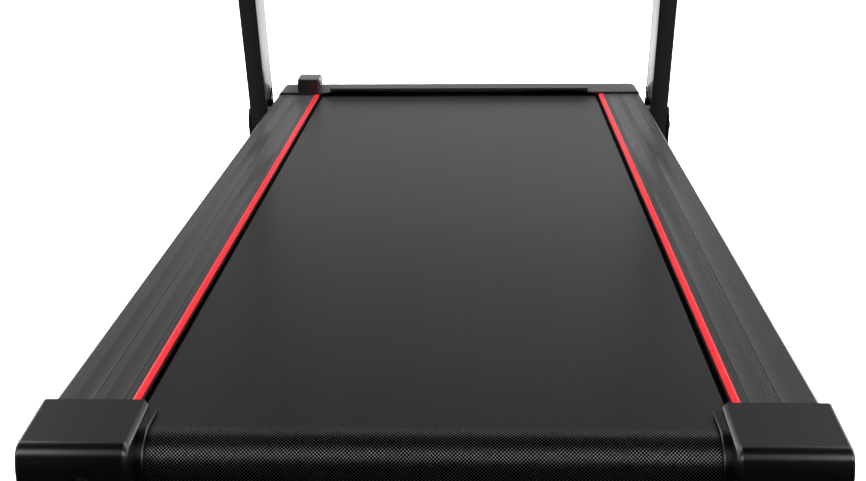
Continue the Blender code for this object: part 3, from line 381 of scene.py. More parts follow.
class Recipe(Nodes):
    """A material's nodes round its principled shader."""

    def __init__(self, name):
        self.material = bpy.data.materials.new(name)
        self.material.use_nodes = True
        super().__init__(self.material.node_tree)
        self.shader = self.tree.nodes["Principled BSDF"]
        self.place = self.add("TexCoord").outputs["Object"]

    def set(self, **inputs):
        for key, value in inputs.items():
            self.feed(self.shader.inputs[key.replace("_", " ")], value)
        return self.material

    def noise(self, scale, detail=3.0):
        return self.add("TexNoise", Vector=self.place, Scale=scale, Detail=detail).outputs["Fac"]

    def stretched_noise(self, x, y, z, detail):
        """Noise with its own scale along each axis."""
        vector = self.add("Mapping", Vector=self.place, Scale=(x, y, z)).outputs[0]
        return self.add("TexNoise", Vector=vector, Scale=1.0, Detail=detail).outputs["Fac"]

    def upward(self):
        """How far the surface faces up."""
        return self.axis(self.add("NewGeometry").outputs["Normal"], "Z")

    def bump(self, height, strength, distance):
        return self.add("Bump", Height=height, Strength=strength, Distance=distance).outputs["Normal"]


def moulded_plastic(name, colour, roughness, grain=0.35, specular=0.5):
    """Moulded plastic: fine spark grain, and slow drifts of colour and gloss."""
    recipe = Recipe(name)
    lighter = tuple(min(1.0, c * 1.25) for c in colour)
    colour_out = recipe.blend(recipe.noise(9.0, 2.0), colour, lighter)
    normal = recipe.bump(recipe.noise(2600.0, 2.0), grain, 0.00012)
    gloss = recipe.between(recipe.noise(35.0, 3.0), roughness - 0.05, roughness + 0.06)
    return recipe.set(Base_Color=colour_out, Roughness=gloss, Normal=normal, Specular_IOR_Level=specular)


def coated_steel(name, colour, roughness, coat=1.0):
    """Powder-coated or lacquered steel with a faint orange peel."""
    recipe = Recipe(name)
    normal = recipe.bump(recipe.noise(420.0, 2.0), 0.10, 0.0002)
    drift = recipe.between(recipe.noise(14.0, 3.0), roughness - 0.04, roughness + 0.05)
    return recipe.set(
        Base_Color=colour, Roughness=drift, Normal=normal,
        Coat_Weight=coat, Coat_Roughness=0.12, Coat_IOR=1.55,
    )


def bare_metal(name, colour, roughness):
    """Turned or plated metal with a fine grain."""
    recipe = Recipe(name)
    grain = recipe.noise(900.0, 4.0)
    normal = recipe.bump(grain, 0.20, 0.00008)
    roughness_out = recipe.between(grain, roughness - 0.08, roughness + 0.10)
    tarnish = recipe.blend(recipe.noise(60.0, 4.0), colour, tuple(c * 0.72 for c in colour))
    return recipe.set(Base_Color=tarnish, Metallic=1.0, Roughness=roughness_out, Normal=normal)


def rubber(name, colour, roughness=0.75):
    recipe = Recipe(name)
    grain = recipe.noise(1500.0, 3.0)
    dust = recipe.blend(recipe.noise(45.0, 5.0), colour, tuple(c * 1.7 for c in colour))
    normal = recipe.bump(grain, 0.45, 0.00015)
    gloss = recipe.between(grain, roughness - 0.1, roughness + 0.1)
    return recipe.set(Base_Color=dust, Roughness=gloss, Normal=normal)


def grip_foam():
    """Closed-cell foam: small open pores all over, whose pits are painted darker as painted shade."""
    recipe = Recipe("grip_foam")
    cells = recipe.add("TexVoronoi", Vector=recipe.place, Scale=900.0).outputs["Distance"]
    pores = recipe.window(cells, 0.05, 0.55)
    normal = recipe.bump(pores, 0.8, 0.0004)
    # The pores' pits are painted darker: painted shade in the hollows
    colour = recipe.blend(pores, grey(0.006), (0.032, 0.032, 0.033))
    return recipe.set(
        Base_Color=colour, Roughness=0.88, Normal=normal, Sheen_Weight=0.25, Sheen_Roughness=0.5,
    )


def belt_weave():
    """PVC running surface: bars and gaps in a lattice, painted as glints and black shade near the camera
    and round the rear bend, which blurs into an even colour far off.
    """
    recipe = Recipe("belt_weave")
    uv = recipe.add("UVMap", {"uv_map": "weave"}).outputs["UV"]
    axes = recipe.add("SeparateXYZ", Vector=uv).outputs
    diagonals = [recipe.math(step, axes["X"], axes["Y"]) for step in ("ADD", "SUBTRACT")]
    waves = [recipe.math("SINE", recipe.math("MULTIPLY", line, math.pi)) for line in diagonals]
    lattice = recipe.math("MULTIPLY", *(recipe.math("ABSOLUTE", wave) for wave in waves))
    fleck = recipe.window(recipe.noise(330.0, 2.0), 0.32, 0.68, 0.70, 1.30)
    bars = recipe.math("MULTIPLY", recipe.window(lattice, *WEAVE_BAR_EDGE), fleck)
    # On the rear roller's bend the painted glints and shade are full strength, and on the flat top they are
    # weaker
    bend_end = REAR_ROLLER_Y + 0.006
    bend_glint_share = recipe.window(recipe.axis(recipe.place, "Y"), bend_end - 0.008, bend_end, 1.0, WEAVE_GLINT_ON_TOP)
    distance = recipe.add("CameraData").outputs["View Distance"]
    # near: how much painted glint and shade the weave shows, fading out with distance from the camera
    near = recipe.math("MULTIPLY", bend_glint_share, recipe.window(distance, *WEAVE_GLINT_FADE, 1.0, 0.0))
    glint_contrast = recipe.math("MULTIPLY", near, recipe.math("SUBTRACT", bars, WEAVE_COVER))
    cover = recipe.math("ADD", WEAVE_COVER, glint_contrast)
    wear = recipe.stretched_noise(26.0, 1.6, 1.0, 3.0)
    far_tone = recipe.blend(wear, grey(0.017), grey(0.023))
    # Close to the camera the bars' colour is painted far paler, as a painted glint
    tone_and_glint = recipe.blend(recipe.math("POWER", near, 3.0), far_tone, grey(0.18))
    # The gaps are painted black as shade, and near the camera the bars turn metallic, which strengthens the
    # painted glints
    return recipe.set(
        Base_Color=recipe.blend(cover, grey(0.0003), tone_and_glint),
        Metallic=recipe.math("MULTIPLY", near, 0.88),
        Roughness=recipe.between(wear, 0.28, 0.33),
        Specular_IOR_Level=recipe.math("MULTIPLY", cover, 0.95),
    )


def rail_anodised():
    """Black anodised extrusion, faintly streaked and clouded along its length."""
    recipe = Recipe("rail_anodised")
    lines = recipe.stretched_noise(1800.0, 5.0, 1800.0, 4.0)
    cloud = recipe.stretched_noise(30.0, 4.0, 30.0, 3.0)
    colour = recipe.blend(cloud, (0.042, 0.042, 0.044), (0.056, 0.056, 0.058))
    roughness = recipe.between(lines, 0.276, 0.30)
    return recipe.set(Base_Color=colour, Metallic=0.55, Roughness=roughness)


def stripe_red():
    """Bright red soft plastic, with a slight painted glow that brightens it."""
    recipe = Recipe("stripe_red")
    soft = recipe.stretched_noise(400.0, 30.0, 400.0, 3.0)
    colour = recipe.blend(soft, (0.93, 0.006, 0.012), (0.98, 0.012, 0.020))
    normal = recipe.bump(soft, 0.08, 0.0001)
    # The emission is a painted glow on a strip that is no lamp
    return recipe.set(
        Base_Color=colour, Roughness=0.28, Normal=normal, Specular_IOR_Level=0.35,
        Emission_Color=(1.0, 0.012, 0.020), Emission_Strength=0.08,
    )


def cap_plastic():
    """ABS with a matt sparked top and polished sides, the flat top painted paler than the near-black sides
    as painted light.
    """
    recipe = Recipe("cap_plastic")
    top = recipe.window(recipe.upward(), 0.985, 0.993)
    # The flat top is painted paler and the sides near black: painted light on the top and painted shade on
    # the sides, besides the top's matt grain and lower gloss
    return recipe.set(
        Base_Color=recipe.blend(top, grey(0.0015), grey(0.0105)),
        Roughness=recipe.between(top, 0.278, 0.56),
        Normal=recipe.bump(recipe.noise(2800.0, 2.0), recipe.math("MULTIPLY", top, 0.35), 0.0001),
        Specular_IOR_Level=recipe.between(top, 0.34, 0.11),
    )


def deck_wood():
    """Fibreboard with pale layers at its edge, and a top face painted near black as shade for the gap
    beside the belt.
    """
    recipe = Recipe("deck_wood")
    layers = recipe.math("SINE", recipe.math("MULTIPLY", recipe.axis(recipe.place, "Z"), 4200.0))
    edge = recipe.blend(recipe.window(layers, -1.0, 1.0), (0.030, 0.020, 0.012), (0.085, 0.055, 0.030))
    # Upward faces are painted near black: painted shade for the gap between the belt and the rails
    colour = recipe.blend(recipe.window(recipe.upward(), 0.3, 0.6), edge, grey(0.0004))
    fibre = recipe.bump(recipe.stretched_noise(600.0, 60.0, 600.0, 5.0), 0.3, 0.0002)
    return recipe.set(Base_Color=colour, Roughness=0.75, Specular_IOR_Level=0.02, Normal=fibre)


def dark_lens():
    recipe = Recipe("dark_lens")
    smear = recipe.between(recipe.noise(25.0, 4.0), 0.04, 0.10)
    black = (0.004, 0.004, 0.005)
    return recipe.set(Base_Color=black, Roughness=smear, Coat_Weight=1.0, Coat_Roughness=0.03)


def lit_segment():
    recipe = Recipe("lit_segment")
    glow = recipe.blend(recipe.noise(800.0), (0.9, 0.10, 0.06), (1.0, 0.16, 0.08))
    return recipe.set(Base_Color=(0.3, 0.02, 0.02), Emission_Color=glow, Emission_Strength=1.6)


def printed_white():
    recipe = Recipe("printed_white")
    ink = recipe.blend(recipe.noise(500.0), grey(0.55), grey(0.68))
    return recipe.set(Base_Color=ink, Roughness=0.5)


# Colour, roughness, and where they differ from most, grain and specular level
PLASTICS = {
    "hood": (grey(0.019), 0.50),
    "pod": (grey(0.034), 0.38),
    "pod_face": (grey(0.16), 0.34, 0.15),
    "pod_button": (grey(0.30), 0.32, 0.15),
    "console": ((0.022, 0.022, 0.023), 0.46),
    "lever": (grey(0.004), 0.90, 0.3, 0.0),
    "black": (grey(0.012), 0.40),
    "pan": (grey(0.020), 0.66),
    "green": ((0.03, 0.30, 0.07), 0.34, 0.12),
    "red": ((0.55, 0.018, 0.018), 0.34, 0.12),
    "grey": ((0.26, 0.26, 0.27), 0.36, 0.12),
}

MATERIALS = {
    **{name: moulded_plastic(name + "_plastic", *look) for name, look in PLASTICS.items()},
    "belt": belt_weave(),
    "rail": rail_anodised(),
    "stripe": stripe_red(),
    "cap": cap_plastic(),
    "upright": coated_steel("upright_paint", grey(0.013), 0.30),
    "frame": coated_steel("frame_paint", grey(0.016), 0.46, 0.35),
    "motor": coated_steel("motor_paint", (0.020, 0.020, 0.021), 0.40, 0.3),
    "steel": bare_metal("plated_steel", (0.52, 0.52, 0.54), 0.30),
    "bolt": bare_metal("black_bolt", (0.16, 0.16, 0.165), 0.34),
    "aluminium": bare_metal("turned_aluminium", (0.66, 0.66, 0.68), 0.34),
    "rubber": rubber("foot_rubber", grey(0.016)),
    "drive_rubber": rubber("drive_rubber", grey(0.012), 0.6),
    "foam": grip_foam(),
    "wood": deck_wood(),
    "lens": dark_lens(),
    "segment": lit_segment(),
    "print": printed_white(),
}


def set_material(obj, material):
    obj.data.materials.clear()
    obj.data.materials.append(MATERIALS[material])
    obj.data.shade_smooth()


def place_piece(obj, body, material, slot, *nodes, angle=35):
    """Finishes a piece, sets it riding on a body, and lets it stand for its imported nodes."""
    set_material(obj, material)
    obj.data.set_sharp_from_angle(angle=math.radians(angle))
    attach(obj, body)
    if nodes:
        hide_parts(*nodes)


def dress(node, material, bevel):
    """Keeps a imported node's own shape, with a finished material and softened edges."""
    obj = frame["nodes"][node]
    set_material(obj, material)
    weld = obj.modifiers.new("weld", "WELD")
    weld.merge_threshold = 0.00001
    if bevel:
        edge = obj.modifiers.new("edge", "BEVEL")
        edge.width = bevel
        edge.segments = 2
        edge.limit_method = "ANGLE"
        edge.angle_limit = math.radians(40)
        edge.harden_normals = True


# ---------------------------------------------------------------- running belt

BELT_EDGE = 0.0004
BELT_SPREAD = 0.0018


def belt_loop(radius, end_steps=28, straight_steps=12):
    """Points round both rollers, starting from under the rear one."""
    rear = arc((REAR_ROLLER_Y, ROLLER_Z), radius, 3 * math.pi / 2, math.pi / 2, end_steps)
    front = arc((FRONT_ROLLER_Y, ROLLER_Z), radius, math.pi / 2, -math.pi / 2, end_steps)
    span = FRONT_ROLLER_Y - REAR_ROLLER_Y
    steps = range(1, straight_steps)
    top = [(REAR_ROLLER_Y + span * i / straight_steps, ROLLER_Z + radius) for i in steps]
    under = [(FRONT_ROLLER_Y - span * i / straight_steps, ROLLER_Z - radius) for i in steps]
    return rear + top + front + under


def running_belt():
    """One seamless band, whose weave coordinates follow it round the rollers."""
    outer_radius, inner_radius = BELT_RADIUS, BELT_RADIUS - BELT_THICKNESS
    half = BELT_HIGH.x + BELT_SPREAD
    section = [
        (-half, outer_radius - BELT_EDGE), (-half + BELT_EDGE, outer_radius), (0.0, outer_radius),
        (half - BELT_EDGE, outer_radius), (half, outer_radius - BELT_EDGE),
        (half, inner_radius), (-half, inner_radius),
    ]
    loops = [belt_loop(radius) for _, radius in section]
    count = len(loops[0])
    travelled = [0.0]
    for i in range(count):
        a, b = Vector(loops[2][i]), Vector(loops[2][(i + 1) % count])
        travelled.append(travelled[-1] + (b - a).length)
    shape = bmesh.new()
    weave = shape.loops.layers.uv.new("weave")
    grid = [[shape.verts.new((x, *loop[i])) for (x, _), loop in zip(section, loops)] for i in range(count)]
    for i in range(count):
        for j in range(len(section)):
            k = (j + 1) % len(section)
            corners = ((i, j), (i, k), ((i + 1) % count, k), ((i + 1) % count, j))
            face = shape.faces.new([grid[a][b] for a, b in corners])
            distances = (travelled[i], travelled[i], travelled[i + 1], travelled[i + 1])
            for loop, (_, b), distance in zip(face.loops, corners, distances):
                loop[weave].uv = (section[b][0] / WEAVE_PITCH, distance / WEAVE_PITCH)
    bmesh.ops.recalc_face_normals(shape, faces=shape.faces)
    mesh = bpy.data.meshes.new("belt_band")
    shape.to_mesh(mesh)
    shape.free()
    place_piece(link("belt_band", mesh), "deck", "belt", "belt_rubber", "running_belt")


# ---------------------------------------------------------------- side rails

RIB_DEPTH = 0.0007
RIB_SHARES = ((0.16, 0.0), (0.62, 0.0), (0.89, RIB_DEPTH))
RAIL_WALL = 0.003
RAIL_RIBS = ((0.2238, 0.2290, 3), (0.2426, 0.2520, 5), (0.2653, 0.2775, 7))
RAIL_CHANNELS = ((0.2290, 0.2426), (0.2520, 0.2653))
CHANNEL_DEPTH = 0.00035
STRIPE_SPREAD = 0.0004
STRIPE_GAP = 0.0001
STRIPE_CROWN = 0.0005
STRIPE_SEAT_DEPTH = 0.0016
RAIL_TOP_THICKNESS = 0.0045


def rib_points(x_low, x_high, count, top):
    """Flat-topped ribs with a narrow groove after each one."""
    pitch = (x_high - x_low) / count
    points = []
    for i in range(count):
        start = x_low + pitch * i
        for share, depth in RIB_SHARES:
            points.append((start + share * pitch, top - depth))
    return points


def channel_points(x_low, x_high, top, steps=8):
    """A shallow rounded channel."""
    shares = [i / steps for i in range(steps + 1)]
    return [(x_low + (x_high - x_low) * t, top - CHANNEL_DEPTH * math.sin(math.pi * t)) for t in shares]


def rail_outline():
    """Cross-section of the right rail: a step for the stripe, ribs and channels, and the outer skirt."""
    top, low_x, high_x = RAIL_HIGH.z, RAIL_LOW.x, RAIL_HIGH.x
    underside, groove_z = top - RAIL_TOP_THICKNESS, top - STRIPE_SEAT_DEPTH
    groove_x = STRIPE_HIGH.x + STRIPE_SPREAD + STRIPE_GAP
    outline = [(low_x, underside), (low_x, groove_z), (groove_x, groove_z), (groove_x, top)]
    for ribs, channel in zip(RAIL_RIBS, RAIL_CHANNELS):
        outline += rib_points(*ribs, top) + channel_points(*channel, top)
    outline += rib_points(*RAIL_RIBS[-1], top)
    outline += arc((high_x - RAIL_WALL, top - RAIL_WALL), RAIL_WALL, math.pi / 2, 0.0, 6)
    outline += [(high_x, RAIL_LOW.z), (high_x - RAIL_WALL, RAIL_LOW.z), (high_x - RAIL_WALL, underside)]
    return outline


def rail(side, word):
    obj = xz_prism("footrail_" + word, [mirrored(rail_outline(), side)], (RAIL_LOW.y, RAIL_HIGH.y))
    place_piece(obj, "deck", "rail", "rail_aluminium", "rail_" + word, angle=28)


def stripe(side, word):
    """A soft strip with a low crown, seated in the rail's step."""
    low_x, high_x = STRIPE_LOW.x - STRIPE_SPREAD, STRIPE_HIGH.x + STRIPE_SPREAD
    top, base = STRIPE_HIGH.z, STRIPE_LOW.z
    shares = [i / 8 for i in range(9)]
    crown = [(low_x + (high_x - low_x) * t, top - STRIPE_CROWN * (2 * t - 1) ** 4) for t in shares]
    outline = mirrored([(low_x, base)] + crown + [(high_x, base)], side)
    obj = xz_prism("accent_strip_" + word, [outline], (STRIPE_LOW.y, STRIPE_HIGH.y))
    place_piece(obj, "deck", "stripe", "stripe_red", "stripe_" + word, angle=50)


# ---------------------------------------------------------------- rear end caps

CAP_WALL = 0.003
CAP_EDGE_RADIUS = 0.0115
CAP_REAR_RADIUS = 0.040
CAP_TURN = math.radians(20)
CAP_CHAMFER = 0.0034
CAP_SIDE_RADIUS = 0.003
CAP_RISE = 0.005
LIP_RADIUS = 0.0285
LIP_ROLL = 0.0016
LIP_OVERLAP = 0.004
LIP_SETBACK = 0.0012
LIP_INNER_X = CAP_LOW.x
CAP_INNER_X = 0.2065
POCKET_RADIUS = 0.0259
POCKET_X = 0.2133
BOLT_X = 0.240
BOLT_ACCESS_RADIUS = 0.0082
CAVITY_OPEN = 0.010


def cap_outline(inset, front_y):
    """Side view of an end cap, drawn in by inset except at its front."""
    rear, bottom = CAP_LOW.y + inset, CAP_LOW.z + inset
    top_front = CAP_HIGH.z - inset
    top_rear = top_front - CAP_RISE
    tight, slow = CAP_EDGE_RADIUS - inset, CAP_REAR_RADIUS - inset
    centre = (rear + slow - (slow - tight) * math.cos(CAP_TURN), top_rear - tight)
    slow_centre_z = centre[1] - (slow - tight) * math.sin(CAP_TURN)
    corner = arc((rear + slow, slow_centre_z), slow, math.pi, math.pi - CAP_TURN, 6)
    corner += arc(centre, tight, math.pi - CAP_TURN, math.pi / 2, 10)[1:]
    return [(rear, bottom)] + corner + [(front_y - inset / 2, top_front), (front_y - inset / 2, bottom)]


def round_nose(radius, front_y, steps=40):
    """A side view that is round behind the rear roller and straight above and below it."""
    nose = arc((REAR_ROLLER_Y, ROLLER_Z), radius, math.pi / 2, 3 * math.pi / 2, steps)
    return nose + [(front_y, ROLLER_Z - radius), (front_y, ROLLER_Z + radius)]


def quarter_steps(radius, steps):
    """(depth, inset) pairs round a quarter circle, from the side face to the full outline."""
    return [(radius - radius * math.cos(a), radius - radius * math.sin(a)) for a in angle_steps(steps)]


def ring_solid(name, side, rings, outline):
    """A solid through (x, inset) rings, each the side view drawn in by its inset."""
    points = [[(side * x, y, z) for y, z in outline(inset)] for x, inset in rings]
    return rings_to_solid(name, points)


def cap_shell(side):
    step = 0.0004
    rings = [(CAP_INNER_X, CAP_CHAMFER), (CAP_INNER_X + step / 2, CAP_CHAMFER - step)]
    rings += [(CAP_INNER_X + CAP_CHAMFER - step, step / 2), (CAP_INNER_X + CAP_CHAMFER, 0.0)]
    rings += [(CAP_HIGH.x - depth, inset) for depth, inset in reversed(quarter_steps(CAP_SIDE_RADIUS, 5))]
    return ring_solid("cap_shell", side, rings, lambda inset: cap_outline(inset, CAP_HIGH.y))


def cap_lip(side):
    """The collar that follows the belt round the rear roller, with a rolled inner edge."""
    rings = [(LIP_INNER_X + depth, inset) for depth, inset in quarter_steps(LIP_ROLL, 5)]
    rings.append((CAP_INNER_X + LIP_OVERLAP, 0.0))
    front_y = CAP_HIGH.y - LIP_SETBACK
    return ring_solid("cap_lip", side, rings, lambda inset: round_nose(LIP_RADIUS - inset, front_y - inset))


def end_cap(side, word):
    cap = join(cap_shell(side), cap_lip(side))
    cavity_x = [side * (CAP_INNER_X + CAP_WALL), side * (CAP_HIGH.x - CAP_WALL)]
    pocket_x = [side * (LIP_INNER_X - 0.010), side * POCKET_X]
    open_y = CAP_HIGH.y + CAVITY_OPEN
    access = [(side * BOLT_X, CAP_LOW.y + y, ROLLER_Z) for y in (-0.002, 0.005)]
    cap = cut(
        cap,
        yz_prism("cap_cavity", [cap_outline(CAP_WALL, open_y)], cavity_x),
        yz_prism("roller_pocket", [round_nose(POCKET_RADIUS, open_y)], pocket_x),
        cylinder("bolt_access", *access, BOLT_ACCESS_RADIUS),
    )
    cap.name = "rear_cap_" + word
    place_piece(cap, "deck", "cap", "cap_plastic", "end_cap_" + word, angle=24)


# ---------------------------------------------------------------- motor hood and pod

HOOD_WALL = 0.003
HOOD_SHOULDER_Z = BELT_TOP + 0.0028
HOOD_RIDGE_X = 0.270
HOOD_RIDGE_Y = 0.536
HOOD_NOSE_Y = HOOD_HIGH.y - 0.015
HOOD_SLOPE = math.radians(15)
HOOD_NOSE_ROUNDING = ((0.004, 0.006), (0.0, 0.014))
HOOD_TOE_Z = 0.040
HOOD_TOE_SETBACK = 0.010
HOOD_CORNER = 0.028
HOOD_EDGE = 0.0013
WALL_HOLE_REACH = (-0.008, 0.004)
INLET_GAP = 0.0005
SWITCH_PIVOT_Z = 0.054
SWITCH_GAP_X = 0.0008
SWITCH_GAP_Z = 0.0010
VENT_ROWS = 4
VENT_PITCH = 0.008
VENT_LOW_Z = 0.047
VENT_HEIGHT = 0.0032
VENT_HALF_WIDTH = 0.110
FRAME_MOUTH = (0.2675, 0.1155)
MOUTH_TOP = BELT_TOP + 0.0090
MOUTH_HALF_WIDTH = 0.2135
MOUTH_ARCH_X = 0.191
EAR_X = 0.200
EAR_Z = BELT_TOP + 0.0064
EAR_DEPTH = 0.022
POD_SEAT = 0.0006
POD_CORNER = 0.0025
POD_NOSE = 0.004
PLATE_HALF_SIZE = (0.0165, 0.0062)
PLATE_CORNER = 0.0060
PLATE_SUNK = 0.002
PLATE_RAISED = 0.0026


def hood_solid(name, inset):
    """The hood's outer form, or its inside when drawn in: side, plan and front views intersected."""
    top, bottom = HOOD_HIGH.z - inset, HOOD_LOW.z - 3 * inset
    rear, front = HOOD_LOW.y + inset, HOOD_HIGH.y - inset
    nose_z = top - (HOOD_NOSE_Y - HOOD_RIDGE_Y) * math.tan(HOOD_SLOPE)
    side_view = [(rear, bottom), (rear, top), (HOOD_RIDGE_Y, top), (HOOD_NOSE_Y, nose_z)]
    side_view += [(front - setback, nose_z - drop) for setback, drop in HOOD_NOSE_ROUNDING]
    side_view += [(front, HOOD_TOE_Z), (front - HOOD_TOE_SETBACK, bottom)]
    half = RAIL_HIGH.x - inset
    hood = yz_prism(name, [side_view], (-half, half))
    radius = HOOD_CORNER - inset
    corner = arc((half - radius, front - radius), radius, 0.0, math.pi / 2, 10)
    right_plan = [(half, rear - 0.010)] + corner
    plan = right_plan + [(-x, y) for x, y in reversed(right_plan)]
    ridge = (HOOD_RIDGE_X - inset / 2, top + 0.0005)
    shoulder = [(half, bottom - 0.01), (half, HOOD_SHOULDER_Z - inset), ridge]
    view = shoulder + [(-x, z) for x, z in reversed(shoulder)]
    hood = boolean(hood, [xy_prism("plan", [plan], (bottom - 0.01, top + 0.01))], "INTERSECT")
    hood = boolean(hood, [xz_prism("front_view", [view], (rear - 0.01, front + 0.01))], "INTERSECT")
    return cut(hood, *(ear_wedge(side, inset) for side, _ in SIDES))


def ear_wedge(side, inset):
    """What the hood's rear edge loses beside the mouth, where it dips to meet the rail."""
    start, low = HOOD_LOW.y - 0.002, EAR_Z - inset
    rise = (HOOD_HIGH.z - EAR_Z) / EAR_DEPTH
    reach = EAR_DEPTH + 0.010
    high = low + reach * rise
    wedge = [(start, low - 0.002 * rise), (HOOD_LOW.y + reach, high), (start, high)]
    return yz_prism("ear_wedge", [wedge], (side * (EAR_X - inset), side * (RAIL_HIGH.x + 0.010)))


def wall_hole(name, x_range, z_range):
    """A cutter through the hood's front wall."""
    start, end = (HOOD_HIGH.y + y for y in WALL_HOLE_REACH)
    return box(name, (x_range[0], start, z_range[0]), (x_range[1], end, z_range[1]))


def inlet_hole():
    low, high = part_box("power_inlet")
    gap = INLET_GAP
    return wall_hole("inlet_hole", (low.x - gap, high.x + gap), (low.z - gap, high.z + gap))


def switch_hole():
    """Leaves the rocker switch as much room below its pivot as above."""
    low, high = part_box("power_switch")
    reach = high.z - SWITCH_PIVOT_Z + SWITCH_GAP_Z
    x_range = (low.x - SWITCH_GAP_X, high.x + SWITCH_GAP_X)
    return wall_hole("switch_hole", x_range, (SWITCH_PIVOT_Z - reach, SWITCH_PIVOT_Z + reach))


def hood_vents():
    """Cooling slots across the middle of the front wall."""
    lows = [VENT_LOW_Z + row * VENT_PITCH for row in range(VENT_ROWS)]
    half, start, end = VENT_HALF_WIDTH, HOOD_HIGH.y - 0.010, HOOD_HIGH.y + 0.010
    return [box("vent", (-half, start, z), (half, end, z + VENT_HEIGHT)) for z in lows]


def motor_hood():
    hood = round_edges(hood_solid("motor_hood", 0.0), HOOD_EDGE, 3, 12)
    mouth_y = (HOOD_LOW.y - 0.010, HOOD_LOW.y + HOOD_WALL + 0.0002)
    half_mouth = [(MOUTH_HALF_WIDTH, 0.0), (MOUTH_HALF_WIDTH, HOOD_SHOULDER_Z), (MOUTH_ARCH_X, MOUTH_TOP)]
    mouth = half_mouth + [(-x, z) for x, z in reversed(half_mouth)]
    frame_x, frame_z = FRAME_MOUTH
    hood = cut(
        hood,
        hood_solid("hood_inside", HOOD_WALL),
        xz_prism("belt_mouth", [mouth], mouth_y),
        box("frame_mouth", (-frame_x, mouth_y[0], 0.0), (frame_x, mouth_y[1], frame_z)),
        inlet_hole(),
        switch_hole(),
        *hood_vents(),
    )
    place_piece(hood, "deck", "hood", "hood_plastic", "front_cover", angle=28)


def pod_outline():
    """Side view: a base that follows the hood's ear, top and slope, under a rounded block."""
    top, rear, front = POD_HIGH.z, POD_LOW.y, POD_HIGH.y
    ear_z, hood_z = EAR_Z + POD_SEAT, HOOD_HIGH.z + POD_SEAT
    front_z = hood_z - (front - HOOD_RIDGE_Y) * math.tan(HOOD_SLOPE)
    base = [(front, front_z), (HOOD_RIDGE_Y, hood_z), (HOOD_LOW.y + EAR_DEPTH, hood_z), (rear, ear_z)]
    corner = arc((rear + POD_CORNER, top - POD_CORNER), POD_CORNER, math.pi, math.pi / 2, 5)
    nose = arc((front - POD_NOSE, top - POD_NOSE), POD_NOSE, math.pi / 2, 0.0, 5)
    return base + corner + nose


def corner_pod():
    """The pod on the hood's left ear, with a pale raised plate round its button."""
    body = yz_prism("rail_pod", [pod_outline()], (POD_LOW.x, POD_HIGH.x))
    pod = round_edges(body, 0.0022, 5, 50)
    low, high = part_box("pod_button")
    centre = (low + high) / 2
    half_y, half_z = PLATE_HALF_SIZE
    corners = [(centre.y - half_y, centre.z - half_z), (centre.y + half_y, centre.z + half_z)]
    outline = rounded_rectangle(*corners, PLATE_CORNER, 8)
    plate_x = (POD_HIGH.x - PLATE_SUNK, POD_HIGH.x + PLATE_RAISED)
    plate = round_edges(yz_prism("pod_plate", [outline], plate_x), 0.0010, 4, 50)
    bore_ends = [(POD_HIGH.x + x, centre.y, centre.z) for x in (-0.010, 0.004)]
    bore_radius = (high.z - low.z) / 2 + 0.0004
    bores = [cylinder("bore", *bore_ends, bore_radius) for _ in range(2)]
    seat = yz_prism("seat", [outline], (plate_x[0] - 0.0002, plate_x[1]))
    dish_profile = ((0.0, 0.002), (0.0060, 0.002), (0.0052, 0.0), (0.0, -0.0004))
    dish = turned("dish", dish_profile, (plate_x[1] - 0.0006, centre.y, centre.z), (1, 0, 0))
    place_piece(cut(plate, bores[0], dish), "deck", "pod_face", "pod_plastic")
    place_piece(cut(pod, bores[1], seat), "deck", "pod", "pod_plastic", "corner_pod")


def pod_button():
    """A domed round push button."""
    low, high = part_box("pod_button")
    centre, radius = (low + high) / 2, (high.z - low.z) / 2
    dome = [(radius * math.sin(a), high.x - low.x - 0.002 * (1 - math.cos(a))) for a in angle_steps(8)]
    profile = dome + [(radius, 0.0), (0.0, 0.0)]
    obj = turned("thumb_button", profile, (low.x, centre.y, centre.z), (1, 0, 0))
    place_piece(obj, "pod_button_unit", "pod_button", "pod_button_grey", "pod_button")


# ---------------------------------------------------------------- mast

def mast_point(x, along, to_user):
    return PIVOT + Vector((x, 0.0, 0.0)) + UP * along + TO_USER * to_user


def mast_place():
    """Local X runs up the mast, local Y towards the user, and local Z to the left."""
    turn = Matrix((UP, TO_USER, UP.cross(TO_USER))).transposed().to_4x4()
    return Matrix.Translation(PIVOT) @ turn


def mast_prism(name, outlines, x_range):
    low, high = sorted(UP.cross(TO_USER).x * x for x in x_range)
    return prism(name, outlines, mast_place(), low, high)


def upright(side, word):
    """A leaning box tube with rolled corners and a round foot."""
    half = UPRIGHT_DEPTH / 2
    foot = arc((0.0, 0.0), half, -math.pi / 2, -3 * math.pi / 2, 24)
    outline = foot + [(UPRIGHT_LENGTH, half), (UPRIGHT_LENGTH, -half)]
    tube_x = [side * UPRIGHT_LOW.x, side * UPRIGHT_HIGH.x]
    post = round_edges(mast_prism("mast_post_" + word, [outline], tube_x), 0.0028, 5, 50)
    reach = [side * (UPRIGHT_LOW.x - 0.003), side * (UPRIGHT_HIGH.x + 0.003)]
    post = cut(post, cylinder("pivot_hole", *((x, PIVOT.y, PIVOT.z) for x in reach), 0.0064, 32))
    place_piece(post, "mast", "upright", "upright_paint", "upright_" + word, angle=40)


